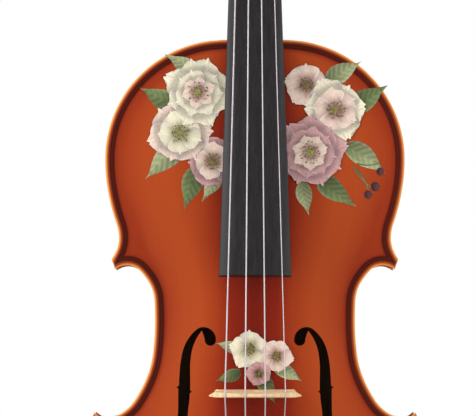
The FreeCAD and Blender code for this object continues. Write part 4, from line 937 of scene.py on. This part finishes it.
# Neck and scroll: the solid's form carved smooth, with a finer spiral and two flutes round the scroll's back
scroll = {"centreAlong": 212.0, "centreOut": -9.0, "radius": 21.0, "core": 1.5, "narrow": 6.75, "wide": 20.5,
          "step": 6, "voxel": 0.72, "passes": 7, "flute": 1.15, "fluteRim": 0.8, "skin": 0.9, "innermost": 4,
          "outermost": 24}
voluteShares = [(1.0, 0.0), (0.93, 0.0), (0.85, 0.02), (0.75, 0.06), (0.63, 0.2), (0.53, 0.36), (0.43, 0.52),
                (0.35, 0.68), (0.29, 0.82), (0.24, 0.93), (0.214, 1.0)]  # radius and width, by quarter turns


def voluteAt(quarters):
    quarters = max(0.0, min(len(voluteShares) - 1.0001, quarters))
    (r0, w0), (r1, w1) = voluteShares[int(quarters)], voluteShares[int(quarters) + 1]
    t = quarters - int(quarters)
    half = scroll["narrow"] + (scroll["wide"] - scroll["narrow"]) * (w0 + (w1 - w0) * t)
    return scroll["radius"] * (r0 + (r1 - r0) * t), half


def scrollSpiral():
    points, faces = [], []
    count = (len(voluteShares) - 1) * 90 // scroll["step"]
    for i in range(count + 1):
        quarters = i * scroll["step"] / 90
        radius, half = voluteAt(quarters)
        turn = math.pi / 2 * quarters
        core, rim = scroll["core"], radius - 0.05
        for across, reach in ((-half, core), (-half, rim), (half, rim), (half, core)):
            points.append(onNeck(across, scroll["centreAlong"] + math.sin(turn) * reach,
                                 scroll["centreOut"] - math.cos(turn) * reach))
    for i in range(0, 4 * count, 4):
        faces += [(i + k, i + (k + 1) % 4, i + 4 + (k + 1) % 4, i + 4 + k) for k in range(4)]
    faces += [(3, 2, 1, 0), (count * 4, count * 4 + 1, count * 4 + 2, count * 4 + 3)]
    return points, faces


def fluteDepth(across, reach, quarter):  # two hollows side by side on the spiral's outer face
    for lap in range(3):
        quarters = quarter + 4 * lap
        radius, half = voluteAt(quarters)
        half -= scroll["fluteRim"]
        near = abs(reach - radius) <= scroll["skin"] and abs(across) <= half
        if near and quarters <= len(voluteShares) - 1:
            wave = 1 - (2 * abs(across) / half - 1) ** 2
            return scroll["flute"] * max(0.0, wave) * smoothStep(0.0, 0.6, quarters)
    return 0.0


def neckPiece():
    shell = bmesh.new()
    shell.from_mesh(meshOf("spiral", *scrollSpiral()))
    bmesh.ops.recalc_face_normals(shell, faces=shell.faces)
    shell.from_mesh(nodes["neck"].data)
    bmesh.ops.remove_doubles(shell, verts=shell.verts, dist=2e-6)
    mesh = bpy.data.meshes.new("neckCarved")
    shell.to_mesh(mesh)
    shell.free()
    piece = stand("neckCarved", mesh)
    remesh = piece.modifiers.new("carve", "REMESH")
    remesh.mode = "VOXEL"
    remesh.voxel_size = scroll["voxel"] * bench["unit"]
    smooth = piece.modifiers.new("scrape", "SMOOTH")
    smooth.factor = 0.5
    smooth.iterations = scroll["passes"]
    applyModifiers(piece)
    cosLean, sinLean = math.cos(math.radians(sizes["neckLean"])), math.sin(math.radians(sizes["neckLean"]))
    for vert in piece.data.vertices:
        rise = vert.co.z / bench["unit"] - bench["alongDrop"] - sizes["bodyLength"]
        out = bench["outDrop"] - vert.co.y / bench["unit"] - sizes["neckRise"]
        along = rise * cosLean - out * sinLean - scroll["centreAlong"]
        height = rise * sinLean + out * cosLean - scroll["centreOut"]
        reach = math.hypot(along, height)
        if scroll["innermost"] <= reach <= scroll["outermost"]:
            quarter = math.atan2(along, -height) / (math.pi / 2) % 4
            pull = fluteDepth(vert.co.x / bench["unit"], reach, quarter) * bench["unit"] / reach
            vert.co.y += pull * (height * cosLean - along * sinLean)
            vert.co.z -= pull * (along * cosLean + height * sinLean)
    piece.data.materials.clear()
    piece.data.materials.append(finish["neckMaple"])
    shadeSmooth(piece.data)
    return piece


carvedNeck = neckPiece()
dress(carvedNeck, "neck")
print("neck carved:", len(carvedNeck.data.polygons), "faces")

# A flower print under the varnish: each petal and leaf lies on the arch, a hair over the one beneath it
printWork = {"lift": 0.03, "step": 0.008, "seed": 7, "petalSteps": (14, 14), "leafSteps": (36, 14),
             "ringStep": 0.27, "eye": 0.12}
paints = {
    "cream": {"tip": (0.80, 0.74, 0.56), "base": (0.34, 0.31, 0.15), "edge": (0.80, 0.69, 0.60)},
    "blush": {"tip": (0.80, 0.62, 0.52), "base": (0.36, 0.17, 0.14), "edge": (0.82, 0.70, 0.62)},
    "mauve": {"tip": (0.56, 0.32, 0.32), "base": (0.24, 0.09, 0.10), "edge": (0.68, 0.45, 0.44)},
    "sage": {"tip": (0.33, 0.36, 0.19), "base": (0.17, 0.21, 0.09), "edge": (0.42, 0.43, 0.27)},
    "deepGreen": {"tip": (0.15, 0.19, 0.075), "base": (0.06, 0.085, 0.03), "edge": (0.22, 0.25, 0.12)},
    "pistil": {"tip": (0.36, 0.36, 0.10), "base": (0.30, 0.32, 0.08), "edge": (0.22, 0.24, 0.07)},
    "stalk": {"tip": (0.20, 0.20, 0.09), "base": (0.12, 0.13, 0.05), "edge": (0.16, 0.16, 0.07)},
    "berry": {"tip": (0.10, 0.045, 0.05), "base": (0.03, 0.012, 0.016), "edge": (0.05, 0.02, 0.025)},
}


def roundPetal(u):  # narrow at its claw, broad and lightly notched at its tip
    return (0.22 + 0.78 * math.sin(math.pi * u ** 0.85 * 0.62)) * math.sqrt(max(0.0, 1 - (u * 0.985) ** 7))


def longLeaf(u):
    return max(0.0, math.sin(math.pi * u ** 0.72)) ** 0.9 + 0.02


def evenStrip(u):
    return 1.0 - 0.35 * u


def roundDisc(u):
    return math.sqrt(max(0.0, 1 - (2 * u - 1) ** 2))


class Print:  # gathers painted shapes, then makes one thin skin of them
    def __init__(self):
        self.points, self.faces, self.uvs, self.colours = [], [], [], []
        self.layer = 0
        self.chance = random.Random(printWork["seed"])

    def shape(self, base, turn, length, width, paint, outline, bend=0.0, tone=1.0, shadow=0.0, ruffle=0.0,
              cover=0.0, veins=0):  # rows run from the base to the tip, columns across
        rows, columns = printWork["leafSteps" if veins else "petalSteps"]
        start = len(self.points)
        self.layer += 1
        base = Vector(base)
        baseColour, tipColour, edgeColour = [Vector(paints[paint][key]) for key in ("base", "tip", "edge")]
        tone *= 1 + self.chance.uniform(-0.06, 0.05)
        phase = self.chance.uniform(0, 6)
        for i in range(rows + 1):
            u = i / rows
            half = width / 2 * outline(u) * (1 + ruffle * 0.5 * math.sin(9 * u + phase))
            angle = math.radians(turn) + bend * u
            middle = base + Vector((math.cos(angle), math.sin(angle))) * length * u
            side = Vector((-math.sin(angle), math.cos(angle)))
            for j in range(columns + 1):
                v = 2 * j / columns - 1
                wave = (math.sin(6.5 * v + 2 * phase) - math.sin(2 * phase)) * (1 - v ** 4)
                reach = 1.0 - 0.12 * v * v * u + ruffle * u * u * wave
                p = base + (middle - base) * reach + side * half * v
                self.points.append(onBelly(p, printWork["lift"] + printWork["step"] * self.layer))
                self.uvs.append((u, v * 0.5 + 0.5))
                rimShare = smoothStep(0.62, 1.0, max(abs(v), smoothStep(0.8, 1.0, u)))
                body = baseColour.lerp(tipColour, smoothStep(0.0, 0.75, u)).lerp(edgeColour, rimShare * 0.8)
                dim = tone * (1 - shadow * (1 - smoothStep(0.0, 0.5, u)))
                dim *= (1 - 0.30 * smoothStep(0.25, 1.0, v)) * (1 + 1.6 * ruffle * wave * u)
                if cover:
                    dim *= 1 - 0.42 * (1 - smoothStep(cover, cover + 0.2, u))
                if veins:
                    comb = math.sin(2 * math.pi * (veins * u - 1.5 * abs(v)))
                    dim *= 1 + 0.20 * comb + (0.14 if v < 0 else -0.10)
                self.colours += [*(body * dim), 1.0]
        for i in range(rows):
            for j in range(columns):
                a = start + i * (columns + 1) + j
                self.faces.append((a, a + 1, a + columns + 2, a + columns + 1))

    def flower(self, centre, radius, petals, colours, turn):  # rings from the outside in, then the eye
        for ring, paint in enumerate(colours):
            size = 1 - printWork["ringStep"] * ring
            inner = 1 - printWork["ringStep"] * (ring + 1)
            cover = inner / size - 0.06 if ring < len(colours) - 1 else 0.0
            count = petals if ring == 0 else max(4, petals - ring)
            for k in range(count):
                angle = turn + 360 * k / count + ring * 180 / count + self.chance.uniform(-5, 5)
                wide = radius * size * (1.16 if petals <= 6 else 0.86) * self.chance.uniform(0.92, 1.08)
                length = radius * size * self.chance.uniform(0.9, 1.04)
                bend = self.chance.uniform(-0.12, 0.12)
                claw = Vector(centre) + heading(angle) * radius * 0.06
                self.shape(claw, angle, length, wide, paint, roundPetal, bend, 1.0 - 0.03 * ring,
                           shadow=0.35, ruffle=0.045, cover=cover)
        self.disc(centre, radius * printWork["eye"], "pistil")

    def disc(self, centre, radius, paint):
        self.shape(Vector(centre) - Vector((radius, 0)), 0, 2 * radius, 2 * radius, paint, roundDisc)

    def made(self, name, material):
        piece = makePiece(name, self.points, self.faces, [material])
        piece.data.attributes.new("paint", "FLOAT_COLOR", "POINT").data.foreach_set("color", self.colours)
        uv = piece.data.uv_layers.new(name="UVMap")
        for loop in piece.data.loops:
            uv.data[loop.index].uv = self.uvs[loop.vertex_index]
        return piece


def printFinish():
    ink = Finish("flowerPrint", Specular_IOR_Level=0.06, Coat_Weight=0.24, Coat_Roughness=0.2, Coat_IOR=1.45,
                 Roughness=0.5)
    paint = ink.node("ShaderNodeAttribute", attribute_name="paint").outputs["Color"]
    uv = ink.node("ShaderNodeUVMap", uv_map="UVMap").outputs["UV"]
    parts = ink.node("ShaderNodeSeparateXYZ", {"Vector": uv}).outputs
    fan = ink.node("ShaderNodeCombineXYZ", {"X": ink.math("MULTIPLY", parts["X"], 1.2),
                                            "Y": ink.math("MULTIPLY", parts["Y"], 11.0)}).outputs[0]
    fine = ink.greys(ink.noise(fan, 3.2, 3.0, 0.3), (0.32, 0.78), (0.5, 1.0), (0.72, 1.08))
    speck = ink.greys(ink.noise(ink.place, 700.0, 3.0), (0.25, 0.90), (0.6, 1.03))
    across = ink.math("ABSOLUTE", ink.math("SUBTRACT", parts["Y"], 0.5))
    rib = ink.greys(across, (0.0, 1.18), (0.025, 1.0), (1.0, 1.0))
    ink.colour(ink.times(ink.times(ink.times(paint, fine), speck, 0.8), rib, 0.7))
    return ink.material


leaves = [  # behind the upper flowers and round the lower ones
    ((-38, 297), 206, 31, 13, "sage", 0.25), ((-40, 318), 168, 27, 12, "deepGreen", -0.2),
    ((-33, 335), 128, 21, 9, "sage", 0.3), ((-30, 285), 238, 27, 12, "deepGreen", 0.2),
    ((-21, 283), 262, 20, 9, "sage", -0.3), ((40, 330), 48, 24, 11, "sage", -0.25),
    ((52, 318), 14, 25, 12, "deepGreen", 0.25), ((50, 296), -22, 28, 12, "sage", -0.2),
    ((36, 280), -58, 27, 12, "deepGreen", 0.3), ((27, 276), -92, 19, 9, "sage", 0.2),
    ((-6, 180), 150, 17, 7, "sage", 0.2), ((10, 172), -12, 18, 8, "sage", -0.25),
    ((3, 170), -74, 21, 9, "deepGreen", 0.15), ((-8, 170), 214, 15, 7, "deepGreen", -0.2)]
stalks = [((56, 283), -40, 15, -0.3), ((55, 284), -60, 17, 0.2), ((57, 286), -18, 13, 0.3)]
berries = [((67.5, 273), 2.6), ((63.5, 268.5), 2.3), ((70.3, 281.5), 2.2)]
flowers = [
    ((-24, 287), 14, 5, ["mauve", "blush"], 40), ((-42, 303), 17, 6, ["blush", "cream"], 10),
    ((-32, 326), 18.5, 8, ["cream", "cream", "blush"], 22), ((29, 330), 12.5, 5, ["blush"], 15),
    ((45, 316), 17, 6, ["cream", "blush"], 0), ((31, 292), 19.5, 9, ["mauve", "mauve", "blush"], 12),
    ((-3, 182), 10.5, 5, ["cream"], 20), ((12, 178), 9.0, 5, ["blush"], 60),
    ((2, 168.5), 7.0, 5, ["mauve"], 35)]
bouquet = Print()
for base, turn, length, width, paint, bend in leaves:
    bouquet.shape(base, turn, length, width, paint, longLeaf, bend, shadow=0.15, ruffle=0.03, veins=7)
for base, turn, length, bend in stalks:
    bouquet.shape(base, turn, length, 0.9, "stalk", evenStrip, bend)
for centre, radius in berries:
    bouquet.disc(centre, radius, "berry")
for flower in flowers:
    bouquet.flower(*flower)
flowerPrint = bouquet.made("flowerPrint", printFinish())
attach(flowerPrint, "root")
print("flower print laid:", bouquet.layer, "petals and leaves")


def stamenTree():  # a flat dot on each point, of uneven size
    tree = bpy.data.node_groups.new("stamens", "GeometryNodeTree")
    for name, kind in (("Geometry", "Geometry"), ("Dot radius", "Float"), ("Material", "Material")):
        tree.interface.new_socket(name, in_out="INPUT", socket_type="NodeSocket" + kind)
    tree.interface.new_socket("Geometry", in_out="OUTPUT", socket_type="NodeSocketGeometry")
    start = wire(tree, "NodeGroupInput").outputs
    dot = wire(tree, "GeometryNodeMeshUVSphere", {"Segments": 8, "Rings": 5, "Radius": start["Dot radius"]})
    flat = wire(tree, "GeometryNodeTransform", {"Geometry": dot.outputs["Mesh"], "Scale": (1, 0.3, 1)})
    size = wire(tree, "FunctionNodeRandomValue", {"Min": 0.6, "Max": 1.25, "Seed": 3}, data_type="FLOAT")
    uneven = [socket for socket in size.outputs if socket.type == "VALUE" and socket.enabled][0]
    scatter = wire(tree, "GeometryNodeInstanceOnPoints",
                   {"Points": start["Geometry"], "Instance": flat.outputs["Geometry"], "Scale": uneven})
    real = wire(tree, "GeometryNodeRealizeInstances", {"Geometry": scatter.outputs["Instances"]})
    painted = wire(tree, "GeometryNodeSetMaterial",
                   {"Geometry": real.outputs["Geometry"], "Material": start["Material"]})
    wire(tree, "NodeGroupOutput", {"Geometry": painted.outputs["Geometry"]})
    return tree


def growOn(tree, name, points, values):  # runs a node tree on loose points and keeps its plain mesh
    piece = stand(name, meshOf(name, points))
    grow = piece.modifiers.new("grow", "NODES")
    grow.node_group = tree
    for item in tree.interface.items_tree:
        if item.item_type == "SOCKET" and item.in_out == "INPUT" and item.name in values:
            grow[item.identifier] = values[item.name]
    return applyModifiers(piece)


stamenForm = {"rings": ((1, 0.0), (6, 0.08), (13, 0.19), (19, 0.28)), "radius": 0.00042, "layersUp": 4}
stamenPaint = mottledFinish("stamenPrint", 1500.0, [(0.3, (0.05, 0.045, 0.014)), (0.5, (0.13, 0.115, 0.03)),
                                                    (0.72, (0.42, 0.36, 0.10))],
                            Specular_IOR_Level=0.06, Coat_Weight=0.2, Coat_Roughness=0.25, Roughness=0.6)
chance = random.Random(printWork["seed"])
seeds = []
for (across, along), radius, *_ in flowers:
    for count, share in stamenForm["rings"]:
        for k in range(count):
            angle = 2 * math.pi * k / count + chance.uniform(-0.2, 0.2)
            reach = radius * share * chance.uniform(0.82, 1.18)
            lift = printWork["lift"] + printWork["step"] * (bouquet.layer + stamenForm["layersUp"])
            seeds.append(onBelly((across + reach * math.cos(angle), along + reach * math.sin(angle)), lift))
stamens = growOn(stamenTree(), "stamens", seeds,
                 {"Dot radius": stamenForm["radius"], "Material": stamenPaint})
shadeSmooth(stamens.data)
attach(stamens, "root")
print("stamens dotted:", len(seeds))

# Floor: it fades into the white backdrop
floorForm = {"half": 2.2, "level": cadBox[0][2] - 0.001, "fadeFrom": 0.5, "fadeTo": 1.5}
corners = [(x * floorForm["half"], y * floorForm["half"], floorForm["level"])
           for x, y in ((-1, -1), (1, -1), (1, 1), (-1, 1))]
pale = Finish("paleFloor", Base_Color=(0.86, 0.86, 0.85, 1), Roughness=0.7, Specular_IOR_Level=0.2)
away = pale.node("ShaderNodeVectorMath", {0: pale.place}, operation="LENGTH").outputs["Value"]
faded = pale.node("ShaderNodeMapRange", {"Value": away, "From Min": floorForm["fadeFrom"],
                                         "From Max": floorForm["fadeTo"]}, interpolation_type="SMOOTHSTEP")
seen = pale.math("MULTIPLY", faded.outputs[0], pale.node("ShaderNodeLightPath").outputs["Is Camera Ray"])
backdrop = pale.node("ShaderNodeEmission", {"Color": (1, 1, 1, 1), "Strength": 1.0}).outputs[0]
mixed = pale.node("ShaderNodeMixShader", {0: seen, 1: pale.shader.outputs[0], 2: backdrop}).outputs[0]
pale.tree.links.new(mixed, pale.tree.nodes["Material Output"].inputs["Surface"])
floor = stand("floor", meshOf("floor", corners, [(0, 1, 2, 3)]))
floor.data.materials.append(pale.material)
